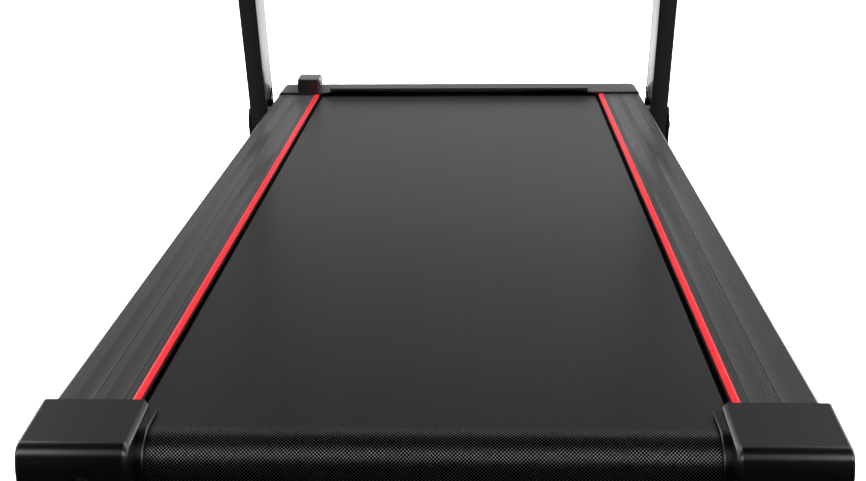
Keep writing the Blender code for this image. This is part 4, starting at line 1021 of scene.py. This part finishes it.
def lock_lever(side, word):
    """A round knob with a short flat arm on the upright's inner face."""
    hub = mast_point(0.0, *LEVER_HUB)
    low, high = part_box("lock_lever_" + word)
    inner, outer = sorted((abs(low.x), abs(high.x)))
    height = outer - inner
    edge = [(0.0050, height), (KNOB_RADIUS, height - 0.0008)]
    profile = [(0.0, height)] + edge + [(KNOB_RADIUS, 0.0), (0.0, 0.0)]
    knob = turned("lock_knob_" + word, profile, (side * outer, hub.y, hub.z), (-side, 0, 0), 32)
    wide, slim = LEVER_ARM_RADII
    ends = arc((0.0, 0.0), wide, math.pi / 2, 3 * math.pi / 2, 10)
    ends += arc((LEVER_LENGTH, 0.0), slim, -math.pi / 2, math.pi / 2, 10)
    place = Matrix.Translation((0.0, hub.y, hub.z)) @ YZ_PLANE @ Matrix.Rotation(LEVER_RISE, 4, "Z")
    arm_x = sorted((side * (outer - 0.0026), side * (outer - 0.0003)))
    lever = round_edges(join(knob, prism("arm", [ends], place, *arm_x)), 0.0003, 2, 50)
    place_piece(lever, f"lock_lever_{word}_unit", "lever", "cap_plastic", "lock_lever_" + word)


def handle_path(bend_steps=16):
    """Points up the mast and towards the user: a rise, a bend, and the slope that the hand holds."""
    turn = math.pi / 2 - HANDLE_SLOPE - LEAN
    start = UPRIGHT_LENGTH + 0.004
    bend_at = start + HANDLE_RISE
    bend = [turn * i / bend_steps for i in range(bend_steps + 1)]
    path = [(start, 0.0)]
    path += [(bend_at + HANDLE_BEND * math.sin(a), HANDLE_BEND * (1 - math.cos(a))) for a in bend]
    along, to_user = path[-1]
    path.append((along + HANDLE_LENGTH * math.cos(turn), to_user + HANDLE_LENGTH * math.sin(turn)))
    return path


def handle(side, word):
    """A bent round tube on a foot that closes the upright's top."""
    x = side * (UPRIGHT_LOW.x + UPRIGHT_HIGH.x) / 2
    bar = round_bar("bar", [mast_point(x, *point) for point in handle_path()], HANDLE_RADIUS)
    half, low = UPRIGHT_DEPTH / 2, UPRIGHT_LENGTH + 0.0003
    foot_outline = [(low, -half), (low, half), (low + 0.006, half)]
    foot_outline += [(low + 0.022, 0.014), (low + 0.022, -0.014), (low + 0.006, -half)]
    foot_x = [side * UPRIGHT_LOW.x, side * UPRIGHT_HIGH.x]
    foot = round_edges(mast_prism("hand_bar_" + word, [foot_outline], foot_x), 0.0024, 4, 20)
    place_piece(join(foot, bar), "mast", "upright", "upright_paint", "handle_" + word, angle=40)


def grip(side, word):
    """A foam sleeve with a rolled end and ringed hollows for the fingers."""
    x = side * (UPRIGHT_LOW.x + UPRIGHT_HIGH.x) / 2
    before, end = (mast_point(x, *point) for point in handle_path()[-2:])
    along = (end - before).normalized()
    outer, inner = GRIP_RADIUS, HANDLE_RADIUS + 0.0003
    roll = [(outer - 0.002 * (1 - math.sin(a)), 0.002 * (1 - math.cos(a))) for a in angle_steps(4)]
    profile = [(inner, GRIP_LENGTH)] + [(radius, GRIP_LENGTH - drop) for radius, drop in roll]
    steps = 96
    for i in range(steps + 1):
        share = i / steps
        height = GRIP_LENGTH - 0.004 - (GRIP_LENGTH - 0.008) * share
        hollow = GRIP_HOLLOW * max(0.0, math.sin(share * math.pi * 2 * GRIP_RINGS)) ** 2
        profile.append((outer - hollow, height))
    profile += [(outer - 0.002, 0.0), (inner, 0.0)]
    start = end - along * (GRIP_LENGTH + 0.008)
    sleeve = turned("foam_grip_" + word, profile, start, along, 48)
    place_piece(sleeve, "mast", "foam", "grip_foam", "grip_" + word, angle=50)


def crossbar():
    reach = CROSSBAR_HIGH.x
    ends = [mast_point(x, *CROSSBAR_AT) for x in (-reach, reach)]
    radius = (CROSSBAR_HIGH.z - CROSSBAR_LOW.z) / 2
    bar = cylinder("cross_tube", *ends, radius, 64)
    flare = [(0.0, 0.010), (radius, 0.010), (radius + 0.0012, 0.0085), (radius + 0.0016, 0.0), (0.0, 0.0)]
    collars = []
    for side, _ in SIDES:
        start, stop = (mast_point(side * x, *CROSSBAR_AT) for x in (reach, reach - 0.010))
        collars.append(turned("collar", flare, start, stop - start, 64))
    place_piece(join(bar, *collars), "mast", "upright", "upright_paint", "crossbar")


# ---------------------------------------------------------------- console

CROSSBAR_SEAT_RADIUS = 0.0166
BUTTON_RADIUS = 0.009
BUTTON_SUNK = 0.0055
BUTTON_HOLE_RADIUS = 0.0095
KEY_HOLE_RADIUS = 0.0046


def console_place():
    """Origin at the lower edge of the console's face: local X right, Y up the face, Z out of it."""
    across = Vector((1.0, 0.0, 0.0))
    up_face = FACE_NORMAL.cross(across)
    turn = Matrix((across, up_face, FACE_NORMAL)).transposed().to_4x4()
    return Matrix.Translation(mast_point(0.0, *FACE_AT)) @ turn


FACE = console_place()


def face_prism(name, outline, low, high):
    return prism(name, [outline], FACE, low, high)


def console_outline(inset):
    """Side view of the console: a sloped face, a slim back and a lower part round the crossbar."""
    low, high = Vector(FACE_AT), Vector((0.985, -0.098))
    along = (high - low).normalized()
    inward = Vector((along.y, -along.x))
    face = [tuple(low + (along + inward) * inset), tuple(high + (inward - along) * inset)]
    back = [(0.978 - inset, -0.114 + inset), (0.905 + inset, -0.062 + inset)]
    foot = [(0.862 + inset, -0.030 + inset), (0.862 + inset, 0.014 - inset)]
    return face + back + foot


def console_holes():
    """Cutters for the crossbar, the buttons and the safety key, and for the seam round the face."""
    half = CONSOLE_HALF_WIDTH + 0.002
    bar_ends = (mast_point(x, *CROSSBAR_AT) for x in (-half, half))
    holes = [cylinder("crossbar_seat", *bar_ends, CROSSBAR_SEAT_RADIUS, 64)]
    radii = {**{button: BUTTON_HOLE_RADIUS for button in BUTTON_ICONS}, "safety_key": KEY_HOLE_RADIUS}
    for name, radius in radii.items():
        ends = (FACE @ Vector((*face_position(name), depth)) for depth in (-0.006, 0.004))
        holes.append(cylinder("hole", *ends, radius, 40))
    outer = rounded_rectangle((-0.196, 0.014), (0.196, 0.139), 0.012)
    inner = rounded_rectangle((-0.1945, 0.0155), (0.1945, 0.1375), 0.0105)
    return holes + [prism("seam", [outer, inner], FACE, -0.0007, 0.001)]


def console_shell():
    half, wall = CONSOLE_HALF_WIDTH, 0.003
    body = round_edges(mast_prism("console_shell", [console_outline(0.0)], (-half, half)), 0.0055, 5, 12)
    inside = mast_prism("console_inside", [console_outline(wall)], (wall - half, half - wall))
    body = cut(body, inside, *console_holes())
    place_piece(body, "mast", "console", "console_plastic", "console_body", angle=28)


def face_position(node):
    """The middle of a node, as local X and Y on the console's face."""
    low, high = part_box(node)
    local = FACE.inverted() @ ((low + high) / 2)
    return local.x, local.y


def display_window():
    outline = rounded_rectangle((LENS_LOW.x, 0.062), (LENS_HIGH.x, 0.130), 0.006)
    glass = round_edges(face_prism("display_glass", outline, 0.0003, 0.0020), 0.0006, 3, 50)
    place_piece(glass, "mast", "lens", "lens_glass", "display_lens")


# Each figure group's name, digits, place and height, then each group of dots' name, place and offsets
FIGURES = (("time", "1250", -0.066, 0.018), ("speed", "35", 0.000, 0.030), ("far", "213", 0.050, 0.018))
DOTS = (("colon", -0.0520, (-0.004, 0.004)), ("point", 0.0005, (-0.0135,)), ("stop", 0.0570, (-0.0080,)))
DOT_RADIUS = 0.0011
FIGURE_LINE = 0.097
FIGURE_DEPTH = (0.0021, 0.0023)
FIGURE_LEAN = 0.08
FIGURE_PITCH = 0.78
SEGMENT_WIDTH = 0.11

# A seven-segment figure's bars, by their ends, in a figure that is FIGURE_SPAN high
FIGURE_SPAN = 1.4
SEGMENTS = {
    "a": ((-0.28, 0.62), (0.28, 0.62)),
    "b": ((0.38, 0.52), (0.38, 0.10)),
    "c": ((0.38, -0.10), (0.38, -0.52)),
    "d": ((-0.28, -0.62), (0.28, -0.62)),
    "e": ((-0.38, -0.52), (-0.38, -0.10)),
    "f": ((-0.38, 0.10), (-0.38, 0.52)),
    "g": ((-0.28, 0.0), (0.28, 0.0)),
}
DIGITS = {"0": "abcdef", "1": "bc", "2": "abged", "3": "abgcd", "5": "afgcd"}


def bar_outline(start, end, width):
    """A thin bar with pointed ends."""
    along = (end - start).normalized() * width / 2
    across = Vector((-along.y, along.x))
    return (start - along, start + across, end + across, end + along, end - across, start - across)


def show_figure(name, outlines):
    place_piece(prism("figure_" + name, outlines, FACE, *FIGURE_DEPTH), "mast", "segment", "lens_glass")


def digit(name, character, x, height):
    outlines = []
    for key in DIGITS[character]:
        ends = (Vector(point) * height / FIGURE_SPAN for point in SEGMENTS[key])
        outline = bar_outline(*ends, height * SEGMENT_WIDTH)
        outlines.append([(x + a + FIGURE_LEAN * b, FIGURE_LINE + b) for a, b in outline])
    show_figure(name, outlines)


def display_figures():
    """Time, speed and distance, in plain leaning seven-segment figures with round dots between them."""
    for group, text, x, height in FIGURES:
        for i, character in enumerate(text):
            digit(f"{group}_{i}", character, x + (i - 0.5) * height * FIGURE_PITCH, height)
    for name, x, offsets in DOTS:
        centres = [(x, FIGURE_LINE + offset) for offset in offsets]
        show_figure(name, [arc(centre, DOT_RADIUS, 0.0, 2 * math.pi - 0.4, 14) for centre in centres])


def triangle(size, turn=0.0):
    return [(size * math.cos(turn + a), size * math.sin(turn + a)) for a in (0.0, 2.094, 4.189)]


def square(half):
    return [(-half, -half), (half, -half), (half, half), (-half, half)]


# Each button's colour and symbol
BUTTON_ICONS = {
    "start_button": ("green", triangle(0.0042)),
    "speed_down_button": ("grey", triangle(0.0042, -math.pi / 2)),
    "speed_up_button": ("grey", triangle(0.0042, math.pi / 2)),
    "stop_button": ("red", square(0.003)),
}


def console_button(node):
    """A dished round button with a generic symbol on it."""
    colour, icon = BUTTON_ICONS[node]
    x, y = face_position(node)
    radius = BUTTON_RADIUS
    rim = [(radius * 0.80, 0.0079), (radius * 0.90, 0.0078), (radius * 0.97, 0.0072), (radius, 0.0062)]
    profile = [(0.0, 0.0072)] + rim + [(radius, 0.0), (0.0, 0.0)]
    start = FACE @ Vector((x, y, -BUTTON_SUNK))
    cap = turned(node.replace("_button", "_key"), profile, start, FACE_NORMAL, 48)
    place_piece(cap, node + "_unit", colour, "button_" + colour, node, angle=40)
    mark = face_prism(node.replace("_button", "_mark"), [(x + a, y + b) for a, b in icon], 0.00165, 0.0022)
    place_piece(mark, node + "_unit", "print", "button_grey")


def safety_key():
    """A round finger tab on a thin stem."""
    x, y = face_position("safety_key")
    start = FACE @ Vector((x, y, -BUTTON_SUNK))
    profile = [(0.0, 0.0136), (0.0108, 0.0136), (0.0122, 0.0139), (0.0134, 0.0132), (0.0139, 0.0120)]
    profile += [(0.0139, 0.0066), (0.0040, 0.0063), (0.0040, 0.0), (0.0, 0.0)]
    tab = turned("stop_key", profile, start, FACE_NORMAL, 64)
    place_piece(tab, "safety_key_unit", "red", "button_red", "safety_key", angle=40)


# ---------------------------------------------------------------- feet, wheels and fasteners

# The lower part of both kinds of foot, as (radius, height) pairs
FOOT_RIM = [(0.0200, 0.0060), (0.0200, 0.0010), (0.0192, 0.0), (0.0, 0.0)]


def thread(top, pitch, count, crest, root):
    """The side of a threaded shank, down from its top."""
    points = []
    for i in range(count):
        height = top - i * pitch
        points += [(crest, height), (root, height - pitch / 2)]
    return points


def under_node(node):
    """The point on the floor below a node's middle, and the height of the node's top."""
    low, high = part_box(node)
    return ((low.x + high.x) / 2, (low.y + high.y) / 2, 0.0), high.z


def rear_foot(word):
    """A rubber foot with a stepped skirt, on a threaded stud."""
    centre, top = under_node("rear_foot_" + word)
    profile = [(0.0, top), (0.0044, top), (0.005, top - 0.0006)]
    profile += thread(top - 0.001, 0.0016, 26, 0.005, 0.0044)
    profile += [(0.005, 0.0170), (0.0128, 0.0156), (0.0140, 0.0140), (0.0186, 0.0072)] + FOOT_RIM
    foot = turned("level_foot_" + word, profile, centre, (0, 0, 1), 48)
    place_piece(foot, f"rear_foot_{word}_unit", "rubber", "foot_rubber", "rear_foot_" + word)


def front_pad(word):
    centre, top = under_node("front_pad_" + word)
    profile = [(0.0, top), (0.0155, top), (0.016, top - 0.0006), (0.016, 0.0135), (0.0166, 0.0120)]
    profile += [(0.0192, 0.0078)] + FOOT_RIM
    pad = turned("floor_pad_" + word, profile, centre, (0, 0, 1), 48)
    place_piece(pad, "deck", "rubber", "foot_rubber", "front_pad_" + word)


def transport_wheel(word):
    """A small wheel: a tyre with two grooves and a dished hub."""
    low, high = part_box("transport_wheel_" + word)
    centre = (low + high) / 2
    half, rim = (high.x - low.x) / 2, (high.z - low.z) / 2
    profile = [(0.0045, half - 0.001), (0.0085, half), (0.0100, half), (0.0110, half - 0.0020)]
    profile += [(0.0140, half - 0.0020), (0.0150, half), (rim - 0.0015, half), (rim, half - 0.0018)]
    for middle in (half * 0.30, -half * 0.30):
        profile += [(rim, middle + 0.0007), (rim - 0.0007, middle), (rim, middle - 0.0007)]
    other_side = [(radius, -height) for radius, height in reversed(profile[:8])]
    wheel = turned("roll_wheel_" + word, profile + other_side, centre, (1, 0, 0), 48)
    node = "transport_wheel_" + word
    place_piece(wheel, node + "_unit", "rubber", "foot_rubber", node)


def hex_socket(place, width, depth):
    turns = [math.pi / 3 * i for i in range(6)]
    corners = [(width / 2 * math.cos(turn), width / 2 * math.sin(turn)) for turn in turns]
    return prism("socket", [corners], place, -depth, 0.002)


def tension_bolt(word):
    """A socket-head bolt with a threaded shank."""
    low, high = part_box("tension_bolt_" + word)
    centre_x, centre_z = (low.x + high.x) / 2, (low.z + high.z) / 2
    length = high.y - low.y
    profile = [(0.0, length), (0.0058, length), (0.0065, length - 0.0007)]
    profile += [(0.0065, length - 0.008), (0.0040, length - 0.0082)]
    profile += thread(length - 0.012, 0.00125, 34, 0.0040, 0.0035) + [(0.0034, 0.0), (0.0, 0.0)]
    bolt = turned("adjuster_" + word, profile, (centre_x, high.y, centre_z), (0, -1, 0), 32)
    place = Matrix.Translation((centre_x, low.y, centre_z)) @ Matrix.Rotation(math.pi / 2, 4, "X")
    bolt = cut(bolt, hex_socket(place, 0.0070, 0.0040))
    place_piece(bolt, f"tension_bolt_{word}_unit", "bolt", "bolt_steel", "tension_bolt_" + word)


def pivot_bolt(side, word):
    """A domed socket-head bolt through the mast's foot."""
    low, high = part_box("pivot_bolt_" + word)
    near, far = sorted((abs(low.x), abs(high.x)))
    length, radius = far - near, (high.z - low.z) / 2
    shank = length - 0.006
    dome = [(radius * math.sin(a), length - 0.0055 * (1 - math.cos(a))) for a in angle_steps(8)]
    profile = dome + [(radius, shank), (0.006, shank), (0.006, 0.0), (0.0, 0.0)]
    bolt = turned("pivot_screw_" + word, profile, (side * near, PIVOT.y, PIVOT.z), (side, 0, 0), 48)
    place = facing((side * far, PIVOT.y, PIVOT.z), (side, 0, 0))
    bolt = cut(bolt, hex_socket(place, 0.0090, 0.0040))
    place_piece(bolt, "deck", "bolt", "bolt_steel", "pivot_bolt_" + word)


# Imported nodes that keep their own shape, each with its material and the width of its softened edges
KEPT_NODES = {
    "base_frame": ("frame", 0.0012),
    "bottom_pan": ("pan", 0.0006),
    "deck_board": ("wood", 0.0),
    "front_roller": ("steel", 0.0006),
    "rear_roller": ("steel", 0.0006),
    "front_roller_axle": ("bolt", 0.0006),
    "rear_roller_axle": ("bolt", 0.0006),
    "roller_pulley": ("aluminium", 0.0005),
    "motor_pulley": ("aluminium", 0.0005),
    "drive_belt": ("drive_rubber", 0.0003),
    "motor": ("motor", 0.0008),
    "motor_bracket": ("frame", 0.0006),
    "controller_box": ("aluminium", 0.0004),
    "power_inlet": ("black", 0.0006),
    "power_switch": ("black", 0.0008),
}


def dress_kept_nodes():
    for node, (material, bevel) in KEPT_NODES.items():
        dress(node, material, bevel)
    for _, word in SIDES:
        dress("wheel_axle_" + word, "bolt", 0.0004)
        dress("hinge_bracket_" + word, "frame", 0.0006)
        dress("deck_cushion_rear_" + word, "rubber", 0.0006)
        dress("deck_cushion_front_" + word, "rubber", 0.0006)


# ---------------------------------------------------------------- camera, floor and light

CAMERA_AT = (0.0333, -1.4929, 0.5271)
CAMERA_PITCH = math.radians(72.1255)
CAMERA_YAW = math.radians(2.1610)
CAMERA_ROLL = math.radians(-0.6049)
CAMERA_LENS = 54.057
FLOOR_HALF = 12.0
STUDIO_FILL = 0.03
STUDIO_RIGHT_SHARE = 0.9
STUDIO_FLANK_EDGE = (0.34, 0.48)
STUDIO_FLANK_GAIN = 7.0

# Each softbox's place, target, size and power
SOFTBOXES = {
    "overhead": ((0.0, 0.3, 3.0), (0.0, 0.1, 0.1), (3.0, 3.0), 12.0),
    "front": ((0.0, 0.95, 1.5), (0.0, 0.3, 0.1), (2.4, 0.8), 125.0),
    "left_wall": ((-2.4, 0.4, 1.4), (0.0, 0.0, 0.2), (2.0, 1.6), 4.0),
    "right_wall": ((2.4, -0.2, 1.4), (0.0, -0.2, 0.2), (2.0, 1.6), 14.0),
}

# Brightness against degrees round an arc, from the horizon ahead of the machine to the one behind it
STUDIO_ARC = (
    (0.0, 0.60), (8.0, 0.50), (14.0, 0.42), (18.0, 0.38), (23.0, 0.10), (29.0, 0.08), (38.0, 0.62),
    (54.0, 0.62), (64.0, 0.02), (112.0, 0.02), (124.0, 1.00), (144.0, 1.00), (152.0, 0.02), (180.0, 0.01),
)


def add_floor():
    """A studio floor: near white to the camera, and in reflections bright only ahead of the machine."""
    floor = box("floor", (-FLOOR_HALF, -FLOOR_HALF, -0.02), (FLOOR_HALF, FLOOR_HALF, -0.0004))
    recipe = Recipe("floor_paper")
    seen = recipe.add("LightPath").outputs["Is Camera Ray"]
    paper = recipe.blend(recipe.noise(3.0, 2.0), grey(0.94), grey(0.96))
    colour = recipe.blend(seen, grey(0.06), paper)
    ahead = recipe.window(recipe.axis(recipe.place, "Y"), 0.6, 1.6)
    glow = recipe.math("ADD", ahead, recipe.math("MULTIPLY", seen, 0.75))
    recipe.set(
        Base_Color=colour, Roughness=0.9, Specular_IOR_Level=0.0,
        Emission_Color=WHITE, Emission_Strength=glow,
    )
    floor.data.materials.append(recipe.material)


def reflected_studio(nodes):
    """What gloss reflects: soft panels on the arc, brighter to the right and far out on both sides."""
    direction = nodes.add("TexCoord").outputs["Generated"]
    across, ahead, up = nodes.add("SeparateXYZ", Vector=direction).outputs
    panels = nodes.add("ValToRGB")
    nodes.feed(panels.inputs[0], nodes.math("DIVIDE", nodes.math("ARCTAN2", up, ahead), math.pi))
    ramp = panels.color_ramp.elements
    for degrees, _ in STUDIO_ARC[1:-1]:
        ramp.new(degrees / 180)
    for element, (_, value) in zip(ramp, STUDIO_ARC):
        element.color = (*grey(value), 1.0)
    lean = nodes.math("ADD", 1.0, nodes.math("MULTIPLY", across, STUDIO_RIGHT_SHARE))
    flank = nodes.window(nodes.math("ABSOLUTE", across), *STUDIO_FLANK_EDGE, 0.0, STUDIO_FLANK_GAIN)
    return nodes.math("MULTIPLY", panels.outputs[0], nodes.math("ADD", lean, flank))


def add_world():
    """White to the camera, even to diffuse light, and a set of soft panels to reflections."""
    world = bpy.data.worlds.new("studio")
    world.use_nodes = True
    nodes = Nodes(world.node_tree)
    rays = nodes.add("LightPath").outputs
    strength = nodes.mix(rays["Is Glossy Ray"], STUDIO_FILL, reflected_studio(nodes))
    strength = nodes.mix(rays["Is Camera Ray"], strength, 1.0)
    background = nodes.tree.nodes["Background"].inputs
    nodes.feed(background["Color"], WHITE)
    nodes.feed(background["Strength"], strength)
    world.cycles.sampling_method = "NONE"
    bpy.context.scene.world = world


def keep_fine_weave():
    """Stops the denoiser smoothing its guides, which would wipe the belt's weave out."""
    bpy.context.scene.cycles.denoising_prefilter = "NONE"


def add_softbox(name, location, target, size, power):
    light = bpy.data.lights.new(name, "AREA")
    light.shape = "RECTANGLE"
    light.size, light.size_y = size
    light.energy = power
    obj = bpy.data.objects.new(name, light)
    obj.location = location
    heading = Vector(target) - Vector(location)
    obj.rotation_euler = heading.to_track_quat("-Z", "Y").to_euler()
    obj.visible_camera = False
    obj.visible_glossy = False
    bpy.context.scene.collection.objects.link(obj)


def add_lights():
    for name, settings in SOFTBOXES.items():
        add_softbox(name, *settings)


def add_camera():
    camera = bpy.data.cameras.new("camera")
    camera.lens = CAMERA_LENS
    camera.sensor_width = 36.0
    obj = bpy.data.objects.new("camera", camera)
    turn = Matrix.Rotation(CAMERA_YAW, 4, "Z") @ Matrix.Rotation(CAMERA_PITCH, 4, "X")
    obj.matrix_world = Matrix.Translation(CAMERA_AT) @ turn @ Matrix.Rotation(CAMERA_ROLL, 4, "Z")
    bpy.context.scene.collection.objects.link(obj)
    bpy.context.scene.camera = obj


# ---------------------------------------------------------------- assembly

def build_pieces():
    running_belt()
    motor_hood()
    corner_pod()
    pod_button()
    crossbar()
    console_shell()
    display_window()
    display_figures()
    safety_key()
    for node in BUTTON_ICONS:
        console_button(node)
    for side, word in SIDES:
        rail(side, word)
        stripe(side, word)
        end_cap(side, word)
        upright(side, word)
        lock_lever(side, word)
        handle(side, word)
        grip(side, word)
        rear_foot(word)
        front_pad(word)
        transport_wheel(word)
        tension_bolt(word)
        pivot_bolt(side, word)
    dress_kept_nodes()


build_pieces()
add_floor()
add_world()
keep_fine_weave()
add_lights()
add_camera()
bpy.context.scene.view_settings.view_transform = "Standard"
